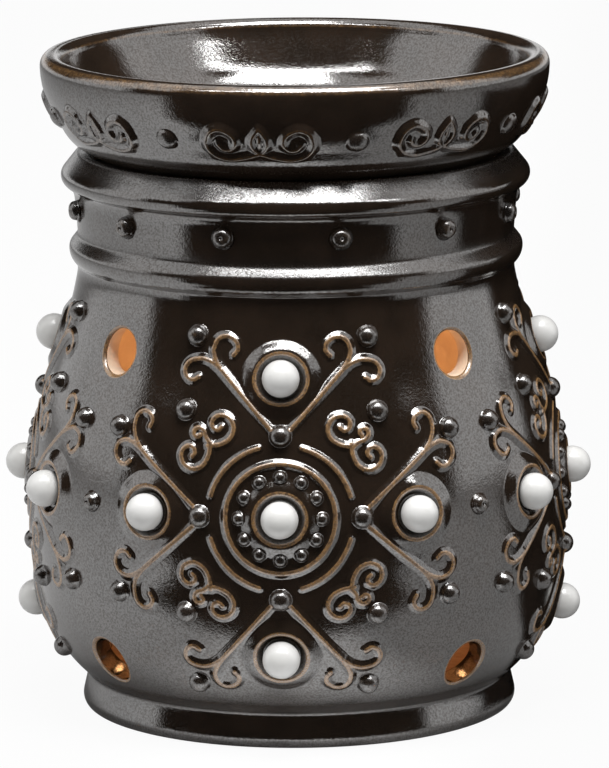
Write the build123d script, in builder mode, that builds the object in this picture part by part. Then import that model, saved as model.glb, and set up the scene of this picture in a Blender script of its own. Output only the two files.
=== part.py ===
"""Electric wax melt warmer: a glazed vessel set with pearls, a lift-off dish and a lamp from below.

Millimetres, +Z up. The origin is on the axis, on the surface that the foot pads stand on.
Azimuths count from the front, -Y, and turn towards +X. The front medallion is at azimuth 0.
"""

import math
import os

from build123d import *

os.makedirs("parts", exist_ok=True)

# Vessel outline, from the foot pads up to the seat of the dish
PAD_THICKNESS = 0.8
PAD_RADIUS = 2.8
PAD_COUNT = 4
FOOT_RADIUS = 49.4
FOOT_CREST_RISE = 2.8
FOOT_HEIGHT = 7.2
FOOT_EDGE_RADIUS = 47.8
FOOT_RING_WIDTH = 7.0
FOOT_RECESS = 6.7
GROOVE_RADIUS = 48.5
HIP_RADIUS = 58.9
HIP_RISE = 17.5
BELLY_RADIUS = 61.1
BELLY_RISE = 40.0
SHOULDER_RADIUS = 55.5
SHOULDER_DROP = 21.5
WAIST_RADIUS = 49.5
BODY_HEIGHT = 92.5
RIB_DEPTH = 1.75
RIB_HEIGHT = 6.6
RIB_RISE = 1.5
NECK_FLARE = 0.5
NECK_WALL = 4.0
NECK_HEIGHT = 8.6
ROLL_FOOT_DEPTH = 0.9
ROLL_FOOT_RISE = 2.4
ROLL_DEPTH = 3.05
ROLL_RISE = 3.8
ROLL_TOP = 4.4
SEAT_WIDTH = 3.4
SEAT_EDGE = 1.3
WALL = 4.5

# Floor of the vessel, with the hole that the lamp goes up through
FLOOR_THICKNESS = 4.5
FLOOR_COVE_RADIUS = 43.0
LAMP_HOLE_RADIUS = 23.0
CORD_NOTCH_WIDTH = 9.0
CORD_NOTCH_HEIGHT = 6.0

# Light holes, half way between the medallions
LIGHT_HOLE_RADIUS = 5.0
UPPER_HOLE_DROP = 12.8
LOWER_HOLE_RISE = 6.0

# Medallions, each with a pearl in its middle and four around it
MEDALLION_COUNT = 4
MEDALLION_RISE = 47.0
PEARL_RADIUS = 4.15
PEARL_STAND = 1.9
PEARL_CLEARANCE = 0.15
SIDE_PEARL_ANGLE = 28.9
TOP_PEARL_RISE = 29.7
BOTTOM_PEARL_DROP = 31.3
CUP_BASE_RADIUS = 6.5
CUP_RIM_RADIUS = 5.2
CUP_HEIGHT = 1.7
CUP_ROOT = 1.2
SLIP = 0.1

# Scrollwork and beads of a medallion
MEDALLION_SCALE = 1.0
RIDGE_WIDTH = 2.2
RIDGE_HEIGHT = 1.1
INNER_RING_RADIUS = 12.1
INNER_RING_JOINT = 2.0
OUTER_RING_RADIUS = 16.2
OUTER_RING_GAP = 13.0
RING_STEPS = 5
CUP_BEAD_COUNT = 12
CUP_BEAD_RING = 9.2
CUP_BEAD_RADIUS = 1.5
KNOT_RING = 18.2
KNOT_RADIUS = 2.45
BEAD_RADIUS = 2.4
SMALL_BEAD_RADIUS = 1.95
NECK_BEAD_COUNT = 12
NECK_BEAD_RADIUS = 2.3
NECK_BEAD_DROP = 1.8

# Lines of the scrollwork, as lengths across and up the glaze from a medallion's middle, each drawn once
# and repeated by turning and mirroring
DRAWN_REACH = 43.0
ARM = [
    (2.0, 19.9),
    (5.2, 23.4),
    (8.4, 26.9),
    (11.6, 30.4),
    (14.6, 33.6),
    (17.8, 34.8),
    (20.8, 33.9),
    (21.8, 31.6),
    (20.4, 29.8),
    (18.8, 30.2),
]
BRANCH = [(14.2, 35.4), (14.7, 38.2), (12.4, 39.9), (9.8, 38.4), (10.6, 35.7)]
LEAF = [(14.9, 16.4), (12.0, 16.7), (10.4, 19.4), (11.8, 22.2), (14.6, 21.8), (14.8, 19.7)]
OUTER_BEADS = [(19.0, 40.5), (40.5, 19.0), (22.0, 23.5)]

# Dish, which stands on the vessel's seat and is centred by its foot ring
DISH_HEIGHT = 22.2
DISH_RIM_RADIUS = 57.5
DISH_LIP_RADIUS = 2.6
DISH_LEDGE_MARGIN = 0.3
DISH_LEDGE_RISE = 1.2
DISH_FLARE = 0.45
DISH_KNUCKLE_RADIUS = 53.2
DISH_KNUCKLE_RISE = 6.8
DISH_FLOOR_RISE = 4.2
DISH_FLOOR_THICKNESS = 4.5
DISH_FLOOR_RADIUS = 30.0
DISH_FOOT_DROP = 6.0
DISH_FOOT_WIDTH = 4.2
DISH_CLEARANCE = 0.6

# Mounting plate under the floor, held by two spring wings in the lamp hole
PLATE_RADIUS = 28.0
PLATE_THICKNESS = 1.2
WING_THICKNESS = 0.6
WING_WIDTH = 10.0
WING_GAP = 0.6
WING_CLEARANCE = 0.4
WING_BOW = 1.8
WING_BOW_RISE = 7.0
WING_HEIGHT = 20.0
WING_LEAN = 5.0
WING_BEND_RADIUS = 1.5
RIVET_RADIUS = 1.5
RIVET_HEAD_RADIUS = 2.6
RIVET_HEAD_HEIGHT = 0.9
RIVET_EDGE = 3.4

# Lamp socket on its hollow screw
FIT_GAP = 0.1
BARREL_RADIUS = 10.2
BARREL_FOOT_RADIUS = 11.2
BARREL_FOOT_HEIGHT = 4.0
BARREL_LENGTH = 28.0
BARREL_FLOOR = 3.5
CARRIER_THICKNESS = 3.0
WIRE_HOLE_RADIUS = 0.9
WIRE_HOLE_SPACING = 3.2
SHELL_THICKNESS = 0.4
SHELL_LENGTH = 18.5
SHELL_FLANGE = 1.6
CONTACT_RADIUS = 1.8
CONTACT_HEIGHT = 1.4
NIPPLE_RADIUS = 4.8
NIPPLE_BORE_RADIUS = 3.4
NIPPLE_TAIL = 0.6
NIPPLE_GAP = 0.15
NUT_WIDTH = 13.0
NUT_HEIGHT = 2.2
WASHER_RADIUS = 8.0
WASHER_THICKNESS = 0.8
BUSHING_RADIUS = 5.4
BUSHING_FLANGE = 0.8
BUSHING_SLEEVE = 3.0
BUSHING_BORE_RADIUS = 2.8

# Bulb
CAP_RADIUS = 5.95
CAP_THICKNESS = 0.35
CAP_LENGTH = 15.5
CAP_RUNNING_GAP = 0.25
BULB_CONTACT_GAP = 0.3
BULB_CONTACT_RADIUS = 2.2
BULB_CONTACT_HEIGHT = 0.6
INSULATOR_HEIGHT = 2.5
GLOBE_RADIUS = 20.0
GLOBE_RISE = 26.0
GLASS = 0.7
GLASS_IN_CAP = 10.0
GLASS_OVER_CAP = 3.0
STEM_RADIUS = 3.2
STEM_FLARE = 6.0
STEM_LENGTH = 22.0
LEAD_RADIUS = 0.4
LEAD_SPACING = 4.4
LEAD_BEND_RADIUS = 2.0
LEAD_STRAIGHT = 3.0
FILAMENT_RADIUS = 0.35
FILAMENT_SPAN = 14.0

# Heights and radii that follow from the sizes above
foot_bottom = PAD_THICKNESS
groove = foot_bottom + FOOT_HEIGHT
belly = groove + BELLY_RISE
waist = groove + BODY_HEIGHT
rib_bottom = waist + RIB_RISE
rib_top = rib_bottom + RIB_HEIGHT
neck_top = rib_top + NECK_HEIGHT
roll_foot = neck_top + ROLL_FOOT_RISE
roll = roll_foot + ROLL_RISE
seat = roll + ROLL_TOP
floor_underside = foot_bottom + FOOT_RECESS
floor_top = floor_underside + FLOOR_THICKNESS
medallion_height = groove + MEDALLION_RISE
neck_radius = WAIST_RADIUS + NECK_FLARE
neck_bore = WAIST_RADIUS - NECK_WALL
seat_radius = neck_bore + SEAT_WIDTH
foot_inner_radius = FOOT_EDGE_RADIUS - FOOT_RING_WIDTH
medallion_turns = [360 / MEDALLION_COUNT * index for index in range(MEDALLION_COUNT)]

bottom_align = (Align.CENTER, Align.CENTER, Align.MIN)
top_align = (Align.CENTER, Align.CENTER, Align.MAX)


def save(piece, name):
    """Label a finished piece and write its STEP file."""
    piece.part.label = name
    export_step(piece.part, f"parts/{name}.step")


def heading(azimuth):
    """Level unit vector that points away from the axis."""
    angle = math.radians(azimuth)
    return Vector(math.sin(angle), -math.cos(angle), 0)


def body_curve(inset, bottom, top):
    """Tangent arcs along one face of the body, as radius and height, down and up from the belly."""
    belly_point = (BELLY_RADIUS - inset, belly)
    to_hip = TangentArc(belly_point, (HIP_RADIUS - inset, groove + HIP_RISE), tangent=(0, -1))
    TangentArc(to_hip @ 1, bottom, tangent=to_hip % 1)
    to_shoulder = TangentArc(belly_point, (SHOULDER_RADIUS - inset, waist - SHOULDER_DROP), tangent=(0, 1))
    TangentArc(to_shoulder @ 1, top, tangent=to_shoulder % 1)


# Outer face of the vessel's body, from the groove over the foot to the waist
with BuildLine() as body_line:
    body_curve(0, (GROOVE_RADIUS, groove), (WAIST_RADIUS, waist))


body_face = body_line.wire()


def distance_at(height):
    """Length down the body's face from the waist to a height."""
    level = Axis((0, height, 0), (1, 0, 0))
    curve = next(edge for edge in body_line.edges() if edge.find_intersection_points(level))
    return body_face.param_at_point(curve.find_intersection_points(level)[0]) * body_face.length


def on_face(azimuth, distance, lift):
    """Plane lifted off the body at a length down its face, with its normal pointing out of the glaze."""
    point = body_face.position_at(distance, PositionMode.LENGTH)
    along = body_face.tangent_at(distance, PositionMode.LENGTH)
    outward = heading(azimuth)
    up = Vector(0, 0, 1)
    normal = (outward * along.Y - up * along.X) * math.copysign(1, along.Y)
    return Plane(outward * point.X + up * point.Y, x_dir=up.cross(outward), z_dir=normal).offset(lift)


def on_body(azimuth, height, lift):
    """Plane lifted off the body at a height."""
    return on_face(azimuth, distance_at(height), lift)


def pearl_planes(lift):
    """Planes under all the pearls, five to a medallion."""
    places = [
        (0, 0),
        (-SIDE_PEARL_ANGLE, 0),
        (SIDE_PEARL_ANGLE, 0),
        (0, TOP_PEARL_RISE),
        (0, -BOTTOM_PEARL_DROP),
    ]
    planes = []
    for turn in medallion_turns:
        planes += [on_body(turn + angle, medallion_height + rise, lift) for angle, rise in places]
    return planes


def light_hole_planes():
    """Upright planes on the axis that face out through the light holes, in two rows."""
    heights = (waist - UPPER_HOLE_DROP, floor_top + LOWER_HOLE_RISE)
    between = [turn + 180 / MEDALLION_COUNT for turn in medallion_turns]
    return [Plane((0, 0, height), z_dir=heading(azimuth)) for height in heights for azimuth in between]


# Turned shell of the vessel, which is cut at the top of its floor into a wall and a base
roll_foot_point = (neck_radius + ROLL_FOOT_DEPTH, roll_foot)
floor_plane = Plane.XY.offset(floor_top)

with BuildSketch(Plane.XZ) as shell_section:
    with BuildLine():
        add(body_line.line)
        Line((WAIST_RADIUS, waist), (WAIST_RADIUS, rib_bottom))
        ThreePointArc(
            (WAIST_RADIUS, rib_bottom),
            (WAIST_RADIUS + RIB_DEPTH, rib_bottom + RIB_HEIGHT / 2),
            (WAIST_RADIUS, rib_top),
        )
        Line((WAIST_RADIUS, rib_top), (neck_radius, neck_top))
        TangentArc((neck_radius, neck_top), roll_foot_point, tangent=(0, 1))
        ThreePointArc(roll_foot_point, (neck_radius + ROLL_DEPTH, roll), (seat_radius, seat))
        Polyline(
            (seat_radius, seat),
            (neck_bore + SEAT_EDGE, seat),
            (neck_bore, seat - SEAT_EDGE),
            (neck_bore, waist),
        )
        body_curve(WALL, (FLOOR_COVE_RADIUS, floor_top), (neck_bore, waist))
        Polyline(
            (FLOOR_COVE_RADIUS, floor_top),
            (LAMP_HOLE_RADIUS, floor_top),
            (LAMP_HOLE_RADIUS, floor_underside),
            (foot_inner_radius, floor_underside),
            (foot_inner_radius, foot_bottom),
            (FOOT_EDGE_RADIUS, foot_bottom),
        )
        ThreePointArc(
            (FOOT_EDGE_RADIUS, foot_bottom),
            (FOOT_RADIUS, foot_bottom + FOOT_CREST_RISE),
            (GROOVE_RADIUS, groove),
        )
    make_face()

# Vessel: the wall, with its light holes, and the neck with the seat for the dish
with BuildPart() as vessel:
    add(shell_section.sketch)
    revolve(axis=Axis.Z)
    with Locations(*light_hole_planes()):
        Cylinder(LIGHT_HOLE_RADIUS, 2 * BELLY_RADIUS, align=bottom_align, mode=Mode.SUBTRACT)
    split(bisect_by=floor_plane, keep=Keep.TOP)
save(vessel, "vessel")

# Vessel base: the floor with its lamp hole and the foot ring, notched at the back for a cord
with BuildPart() as vessel_base:
    add(shell_section.sketch)
    revolve(axis=Axis.Z)
    split(bisect_by=floor_plane, keep=Keep.BOTTOM)
    with BuildSketch(Plane.XZ):
        with Locations((0, foot_bottom)):
            Rectangle(CORD_NOTCH_WIDTH, 2 * CORD_NOTCH_HEIGHT - CORD_NOTCH_WIDTH)
        with Locations((0, foot_bottom + CORD_NOTCH_HEIGHT - CORD_NOTCH_WIDTH / 2)):
            Circle(CORD_NOTCH_WIDTH / 2)
    extrude(amount=-2 * FOOT_RADIUS, mode=Mode.SUBTRACT)
save(vessel_base, "vessel_base")

# Medallions: cast relief that lies on the body, bedded on a thin layer of slip
medallion_distance = distance_at(medallion_height)
medallion_room = min(medallion_distance, body_face.length - medallion_distance)
medallion_scale = min(MEDALLION_SCALE, medallion_room / DRAWN_REACH)


def laid_out(across, up):
    """Plane on the front medallion's slip, at lengths across and up the glaze from its middle."""
    distance = medallion_distance - up * medallion_scale
    radius = body_face.position_at(distance, PositionMode.LENGTH).X
    return on_face(math.degrees(across * medallion_scale / radius), distance, SLIP)


def turned(points, quarter, mirrored=False):
    """Points turned about the medallion's middle by quarter turns, mirrored first where asked."""
    if mirrored:
        points = [(-across, up) for across, up in points]
    for _ in range(quarter):
        points = [(-up, across) for across, up in points]
    return points


def ring_points(radius, start, end, steps):
    """Points along part of a ring about the medallion's middle."""
    angles = [math.radians(start + (end - start) * step / steps) for step in range(steps + 1)]
    return [(radius * math.sin(angle), radius * math.cos(angle)) for angle in angles]


def ridge(points):
    """Ridge with bevelled flanks that follows a line on the front medallion."""
    planes = [laid_out(across, up) for across, up in points]
    spots = [plane.origin for plane in planes]
    with BuildPart() as made:
        for plane, before, after in zip(planes, spots[:1] + spots, spots[1:] + spots[-1:]):
            along = (after - before).normalized()
            with BuildSketch(Plane(plane.origin, x_dir=plane.z_dir.cross(along), z_dir=along)):
                Polygon((-RIDGE_WIDTH / 2, 0), (RIDGE_WIDTH / 2, 0), (0, RIDGE_HEIGHT), align=None)
        loft(ruled=True)
    return made.part


ridges = []
for quarter in range(4):
    for mirrored in (False, True):
        ridges += [ridge(turned(line, quarter, mirrored)) for line in (ARM, BRANCH, LEAF)]
    outer_ring = ring_points(OUTER_RING_RADIUS, OUTER_RING_GAP, 90 - OUTER_RING_GAP, RING_STEPS)
    inner_ring = ring_points(INNER_RING_RADIUS, INNER_RING_JOINT, 90 - INNER_RING_JOINT, RING_STEPS)
    ridges += [ridge(turned(line, quarter)) for line in (outer_ring, inner_ring)]

cup_beads = ring_points(CUP_BEAD_RING, 0, 360, CUP_BEAD_COUNT)[1:]
knots = ring_points(KNOT_RING, 0, 360, 4)[1:]
outer_beads = [
    (side * across, level * up) for across, up in OUTER_BEADS for side in (1, -1) for level in (1, -1)
]
between = [on_body(turn + 180 / MEDALLION_COUNT, medallion_height, SLIP) for turn in medallion_turns]

with BuildPart() as medallion:
    add(ridges)
    for radius, places in ((CUP_BEAD_RADIUS, cup_beads), (KNOT_RADIUS, knots), (BEAD_RADIUS, outer_beads)):
        with Locations(*[laid_out(across, up) for across, up in places]):
            Sphere(radius, arc_size1=0, align=bottom_align)

with BuildPart() as medallions:
    with Locations(*pearl_planes(-CUP_ROOT)):
        Cone(CUP_BASE_RADIUS, CUP_RIM_RADIUS, CUP_ROOT + CUP_HEIGHT, align=bottom_align)
        Cylinder(
            PEARL_RADIUS + PEARL_CLEARANCE,
            2 * (CUP_ROOT + CUP_HEIGHT),
            align=bottom_align,
            mode=Mode.SUBTRACT,
        )
    with BuildSketch(Plane.XZ):
        with BuildLine():
            body_curve(-SLIP, (GROOVE_RADIUS + SLIP, groove), (WAIST_RADIUS + SLIP, waist))
            Polyline((WAIST_RADIUS + SLIP, waist), (0, waist), (0, groove), (GROOVE_RADIUS + SLIP, groove))
        make_face()
    revolve(axis=Axis.Z, mode=Mode.SUBTRACT)
    with Locations(*between):
        Sphere(SMALL_BEAD_RADIUS, arc_size1=0, align=bottom_align)
    with Locations((0, 0, neck_top - NECK_BEAD_DROP)):
        with PolarLocations(neck_radius + SLIP, NECK_BEAD_COUNT, 180 / NECK_BEAD_COUNT):
            Sphere(NECK_BEAD_RADIUS, arc_size1=0, rotation=(0, 90, 0), align=bottom_align)
    with PolarLocations(0, MEDALLION_COUNT):
        add(medallion.part)
save(medallions, "medallions")

# Pearls: domes with a flat back, glued down inside their cups
with BuildPart() as pearls:
    with Locations(*pearl_planes(PEARL_STAND)):
        Sphere(PEARL_RADIUS)
    with Locations(*pearl_planes(SLIP)):
        Cylinder(PEARL_RADIUS, PEARL_RADIUS, align=top_align, mode=Mode.SUBTRACT)
save(pearls, "pearls")

# Foot pads under the ring, clear of the cord notch
with BuildPart() as foot_pads:
    with PolarLocations(foot_inner_radius + FOOT_RING_WIDTH / 2, PAD_COUNT, 180 / PAD_COUNT):
        Cylinder(PAD_RADIUS, PAD_THICKNESS, align=bottom_align)
save(foot_pads, "foot_pads")

# Dish: turned bowl with a rounded lip, a ledge on the seat and a foot ring inside the neck
lip_height = seat + DISH_HEIGHT - DISH_LIP_RADIUS
lip_inner_radius = DISH_RIM_RADIUS - 2 * DISH_LIP_RADIUS
bowl_floor = seat + DISH_FLOOR_RISE
dish_foot_radius = neck_bore - DISH_CLEARANCE
ledge_radius = seat_radius - DISH_LEDGE_MARGIN
ledge_point = (ledge_radius, seat + DISH_LEDGE_RISE)
knuckle_point = (DISH_KNUCKLE_RADIUS, seat + DISH_KNUCKLE_RISE)

with BuildPart() as dish:
    with BuildSketch(Plane.XZ):
        with BuildLine():
            TangentArc(ledge_point, knuckle_point, tangent=(DISH_FLARE, 1))
            TangentArc((DISH_RIM_RADIUS, lip_height), knuckle_point, tangent=(0, -1))
            ThreePointArc(
                (DISH_RIM_RADIUS, lip_height),
                (DISH_RIM_RADIUS - DISH_LIP_RADIUS, lip_height + DISH_LIP_RADIUS),
                (lip_inner_radius, lip_height),
            )
            TangentArc((DISH_FLOOR_RADIUS, bowl_floor), (lip_inner_radius, lip_height), tangent=(1, 0))
            Polyline(
                (DISH_FLOOR_RADIUS, bowl_floor),
                (0, bowl_floor),
                (0, bowl_floor - DISH_FLOOR_THICKNESS),
                (dish_foot_radius - DISH_FOOT_WIDTH, bowl_floor - DISH_FLOOR_THICKNESS),
                (dish_foot_radius - DISH_FOOT_WIDTH, seat - DISH_FOOT_DROP),
                (dish_foot_radius, seat - DISH_FOOT_DROP),
                (dish_foot_radius, seat),
                (ledge_radius, seat),
                ledge_point,
            )
        make_face()
    revolve(axis=Axis.Z)
save(dish, "dish")

# Lamp kit: heights from the plate, which lies against the underside of the floor
plate_top = floor_underside
plate_bottom = plate_top - PLATE_THICKNESS
tab_top = plate_top + WING_THICKNESS
washer_bottom = plate_bottom - WASHER_THICKNESS
nut_bottom = washer_bottom - NUT_HEIGHT
nipple_bottom = nut_bottom - NIPPLE_TAIL
carrier_bottom = plate_top + BARREL_FLOOR
carrier_top = carrier_bottom + CARRIER_THICKNESS
shell_bore = CAP_RADIUS + CAP_RUNNING_GAP
shell_radius = shell_bore + SHELL_THICKNESS
barrel_bore = shell_radius + FIT_GAP
nipple_hole = NIPPLE_RADIUS + NIPPLE_GAP
wing_start = BARREL_FOOT_RADIUS + WING_GAP
rivet_place = wing_start + RIVET_EDGE
rivet_places = [(rivet_place, 0), (-rivet_place, 0)]

with BuildPart() as mount_plate:
    with BuildSketch(Plane.XY.offset(plate_bottom)):
        Circle(PLATE_RADIUS)
        Circle(nipple_hole, mode=Mode.SUBTRACT)
        with Locations(*rivet_places):
            Circle(RIVET_RADIUS + FIT_GAP, mode=Mode.SUBTRACT)
    extrude(amount=PLATE_THICKNESS)
save(mount_plate, "mount_plate")

# Spring wings: strips that bow out against the wall of the lamp hole
wing_reach = math.sqrt((LAMP_HOLE_RADIUS - WING_CLEARANCE) ** 2 - (WING_WIDTH / 2) ** 2) - WING_THICKNESS / 2
wing_middle = plate_top + WING_THICKNESS / 2
for side, hand in ((1, "right"), (-1, "left")):
    with BuildPart() as spring_wing:
        with BuildSketch(Plane((0, 0, 0), x_dir=(side, 0, 0), z_dir=(0, -side, 0))):
            with BuildLine():
                FilletPolyline(
                    (wing_start, wing_middle),
                    (wing_reach - WING_BOW, wing_middle),
                    (wing_reach, plate_top + WING_BOW_RISE),
                    (wing_reach - WING_LEAN, plate_top + WING_HEIGHT),
                    radius=WING_BEND_RADIUS,
                )
            trace(line_width=WING_THICKNESS)
        extrude(amount=WING_WIDTH / 2, both=True)
        with Locations((side * rivet_place, 0, plate_top)):
            Cylinder(RIVET_RADIUS + FIT_GAP, WING_HEIGHT, mode=Mode.SUBTRACT)
    save(spring_wing, f"spring_wing_{hand}")

with BuildPart() as wing_rivets:
    with Locations(*[(x, y, plate_bottom - RIVET_HEAD_HEIGHT) for x, y in rivet_places]):
        Cylinder(RIVET_HEAD_RADIUS, RIVET_HEAD_HEIGHT, align=bottom_align)
        Cylinder(RIVET_RADIUS, tab_top - plate_bottom + 2 * RIVET_HEAD_HEIGHT, align=bottom_align)
    with Locations(*[(x, y, tab_top) for x, y in rivet_places]):
        Cylinder(RIVET_HEAD_RADIUS, RIVET_HEAD_HEIGHT, align=bottom_align)
save(wing_rivets, "wing_rivets")

# Socket barrel: moulded cup with a stepped foot, screwed down by the nipple through its floor
with BuildPart() as socket_barrel:
    with BuildSketch(Plane.XZ):
        with BuildLine():
            Polyline(
                (nipple_hole, plate_top),
                (BARREL_FOOT_RADIUS, plate_top),
                (BARREL_FOOT_RADIUS, plate_top + BARREL_FOOT_HEIGHT),
                (BARREL_RADIUS, plate_top + BARREL_FOOT_HEIGHT + BARREL_FOOT_RADIUS - BARREL_RADIUS),
                (BARREL_RADIUS, plate_top + BARREL_LENGTH),
                (barrel_bore, plate_top + BARREL_LENGTH),
                (barrel_bore, carrier_bottom),
                (nipple_hole, carrier_bottom),
                close=True,
            )
        make_face()
    revolve(axis=Axis.Z)
save(socket_barrel, "socket_barrel")

with BuildPart() as contact_carrier:
    with BuildSketch(Plane.XY.offset(carrier_bottom)):
        Circle(barrel_bore - FIT_GAP)
        with Locations((0, WIRE_HOLE_SPACING), (0, -WIRE_HOLE_SPACING)):
            Circle(WIRE_HOLE_RADIUS, mode=Mode.SUBTRACT)
    extrude(amount=CARRIER_THICKNESS)
save(contact_carrier, "contact_carrier")

with BuildPart() as screw_shell:
    with BuildSketch(Plane.XZ):
        with BuildLine():
            Polyline(
                (shell_bore - SHELL_FLANGE, carrier_top),
                (shell_radius, carrier_top),
                (shell_radius, carrier_top + SHELL_LENGTH),
                (shell_bore, carrier_top + SHELL_LENGTH),
                (shell_bore, carrier_top + SHELL_THICKNESS),
                (shell_bore - SHELL_FLANGE, carrier_top + SHELL_THICKNESS),
                close=True,
            )
        make_face()
    revolve(axis=Axis.Z)
save(screw_shell, "screw_shell")

with BuildPart() as centre_contact:
    with Locations((0, 0, carrier_top)):
        Cylinder(CONTACT_RADIUS, CONTACT_HEIGHT, align=bottom_align)
save(centre_contact, "centre_contact")

with BuildPart() as threaded_nipple:
    with BuildSketch(Plane.XY.offset(nipple_bottom)):
        Circle(NIPPLE_RADIUS)
        Circle(NIPPLE_BORE_RADIUS, mode=Mode.SUBTRACT)
    extrude(amount=carrier_bottom - nipple_bottom)
save(threaded_nipple, "threaded_nipple")

with BuildPart() as lock_nut:
    with BuildSketch(Plane.XY.offset(nut_bottom)):
        RegularPolygon(NUT_WIDTH / 2, 6, major_radius=False)
        Circle(nipple_hole, mode=Mode.SUBTRACT)
    extrude(amount=NUT_HEIGHT)
save(lock_nut, "lock_nut")

with BuildPart() as washer:
    with BuildSketch(Plane.XY.offset(washer_bottom)):
        Circle(WASHER_RADIUS)
        Circle(nipple_hole, mode=Mode.SUBTRACT)
    extrude(amount=WASHER_THICKNESS)
save(washer, "washer")

# Cord bushing: flanged sleeve that lines the lower end of the nipple
with BuildPart() as cord_bushing:
    with BuildSketch(Plane.XZ):
        with BuildLine():
            Polyline(
                (BUSHING_BORE_RADIUS, nipple_bottom - BUSHING_FLANGE),
                (BUSHING_RADIUS, nipple_bottom - BUSHING_FLANGE),
                (BUSHING_RADIUS, nipple_bottom),
                (NIPPLE_BORE_RADIUS - FIT_GAP, nipple_bottom),
                (NIPPLE_BORE_RADIUS - FIT_GAP, nipple_bottom + BUSHING_SLEEVE),
                (BUSHING_BORE_RADIUS, nipple_bottom + BUSHING_SLEEVE),
                close=True,
            )
        make_face()
    revolve(axis=Axis.Z)
save(cord_bushing, "cord_bushing")

# Bulb: heights from the socket's contact
bulb_bottom = carrier_top + CONTACT_HEIGHT + BULB_CONTACT_GAP
insulator_bottom = bulb_bottom + BULB_CONTACT_HEIGHT
cap_bottom = insulator_bottom + INSULATOR_HEIGHT
cap_top = cap_bottom + CAP_LENGTH
cap_bore = CAP_RADIUS - CAP_THICKNESS
glass_bottom = cap_top - GLASS_IN_CAP
glass_neck_top = cap_top + GLASS_OVER_CAP
glass_neck_radius = cap_bore - FIT_GAP
globe_centre = cap_top + GLOBE_RISE
stem_top = glass_bottom + STEM_LENGTH

with BuildPart() as cap_contact:
    with Locations((0, 0, bulb_bottom)):
        Cylinder(BULB_CONTACT_RADIUS, BULB_CONTACT_HEIGHT, align=bottom_align)
save(cap_contact, "cap_contact")

with BuildPart() as cap_insulator:
    with Locations((0, 0, insulator_bottom)):
        Cone(BULB_CONTACT_RADIUS, cap_bore, INSULATOR_HEIGHT, align=bottom_align)
save(cap_insulator, "cap_insulator")

with BuildPart() as bulb_cap:
    with BuildSketch(Plane.XY.offset(cap_bottom)):
        Circle(CAP_RADIUS)
        Circle(cap_bore, mode=Mode.SUBTRACT)
    extrude(amount=CAP_LENGTH)
save(bulb_cap, "bulb_cap")


def globe_outline(inset):
    """Half section of the globe and its neck, inset from the outer face, with a fillet where they meet."""
    radius = GLOBE_RADIUS - inset
    neck = glass_neck_radius - inset
    drop = globe_centre - glass_neck_top
    fillet_radius = (neck**2 + drop**2 - radius**2) / (2 * (radius - neck))
    share = radius / (radius + fillet_radius)
    swell = ((neck + fillet_radius) * share, globe_centre - drop * share)
    Polyline((0, glass_bottom), (neck, glass_bottom), (neck, glass_neck_top))
    TangentArc((neck, glass_neck_top), swell, tangent=(0, 1))
    ThreePointArc(swell, (radius, globe_centre), (0, globe_centre + radius))
    Line((0, globe_centre + radius), (0, glass_bottom))


with BuildPart() as glass_globe:
    with BuildSketch(Plane.XZ):
        with BuildLine():
            globe_outline(0)
        make_face()
    revolve(axis=Axis.Z)
    with BuildSketch(Plane.XZ):
        with BuildLine():
            globe_outline(GLASS)
        make_face()
    revolve(axis=Axis.Z, mode=Mode.SUBTRACT)
save(glass_globe, "glass_globe")

with BuildPart() as glass_stem:
    with BuildSketch(Plane.XZ):
        with BuildLine():
            Line((0, glass_bottom), (glass_neck_radius - GLASS - FIT_GAP, glass_bottom))
            TangentArc(
                (STEM_RADIUS, glass_bottom + STEM_FLARE),
                (glass_neck_radius - GLASS - FIT_GAP, glass_bottom),
                tangent=(0, -1),
            )
            Polyline((STEM_RADIUS, glass_bottom + STEM_FLARE), (STEM_RADIUS, stem_top), (0, stem_top))
            Line((0, stem_top), (0, glass_bottom))
        make_face()
    revolve(axis=Axis.Z)
save(glass_stem, "glass_stem")

# Lead wires: up from the stem, out to the ends of the filament
with BuildPart() as lead_wires:
    for side in (1, -1):
        with BuildLine(Plane.XZ):
            FilletPolyline(
                (side * LEAD_SPACING / 2, stem_top),
                (side * LEAD_SPACING / 2, stem_top + LEAD_STRAIGHT),
                (side * FILAMENT_SPAN / 2, globe_centre - LEAD_STRAIGHT),
                (side * FILAMENT_SPAN / 2, globe_centre),
                radius=LEAD_BEND_RADIUS,
            )
        with BuildSketch(Plane((side * LEAD_SPACING / 2, 0, stem_top))):
            Circle(LEAD_RADIUS)
        sweep()
save(lead_wires, "lead_wires")

with BuildPart() as filament:
    with BuildLine(Plane.XZ):
        ThreePointArc(
            (-FILAMENT_SPAN / 2, globe_centre),
            (0, globe_centre + FILAMENT_SPAN / 2),
            (FILAMENT_SPAN / 2, globe_centre),
        )
    with BuildSketch(Plane((-FILAMENT_SPAN / 2, 0, globe_centre))):
        Circle(FILAMENT_RADIUS)
    sweep()
save(filament, "filament")

with BuildPart() as filament_support:
    with Locations((0, 0, stem_top)):
        Cylinder(
            LEAD_RADIUS,
            globe_centre + FILAMENT_SPAN / 2 - FILAMENT_RADIUS - FIT_GAP - stem_top,
            align=bottom_align,
        )
save(filament_support, "filament_support")
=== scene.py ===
"""Looks of the wax melt warmer: lustre glaze, raised scrollwork, pearls and the lamp inside."""

import math

import bmesh
import bpy
import numpy as np
from mathutils import Euler, Matrix, Vector


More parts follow.
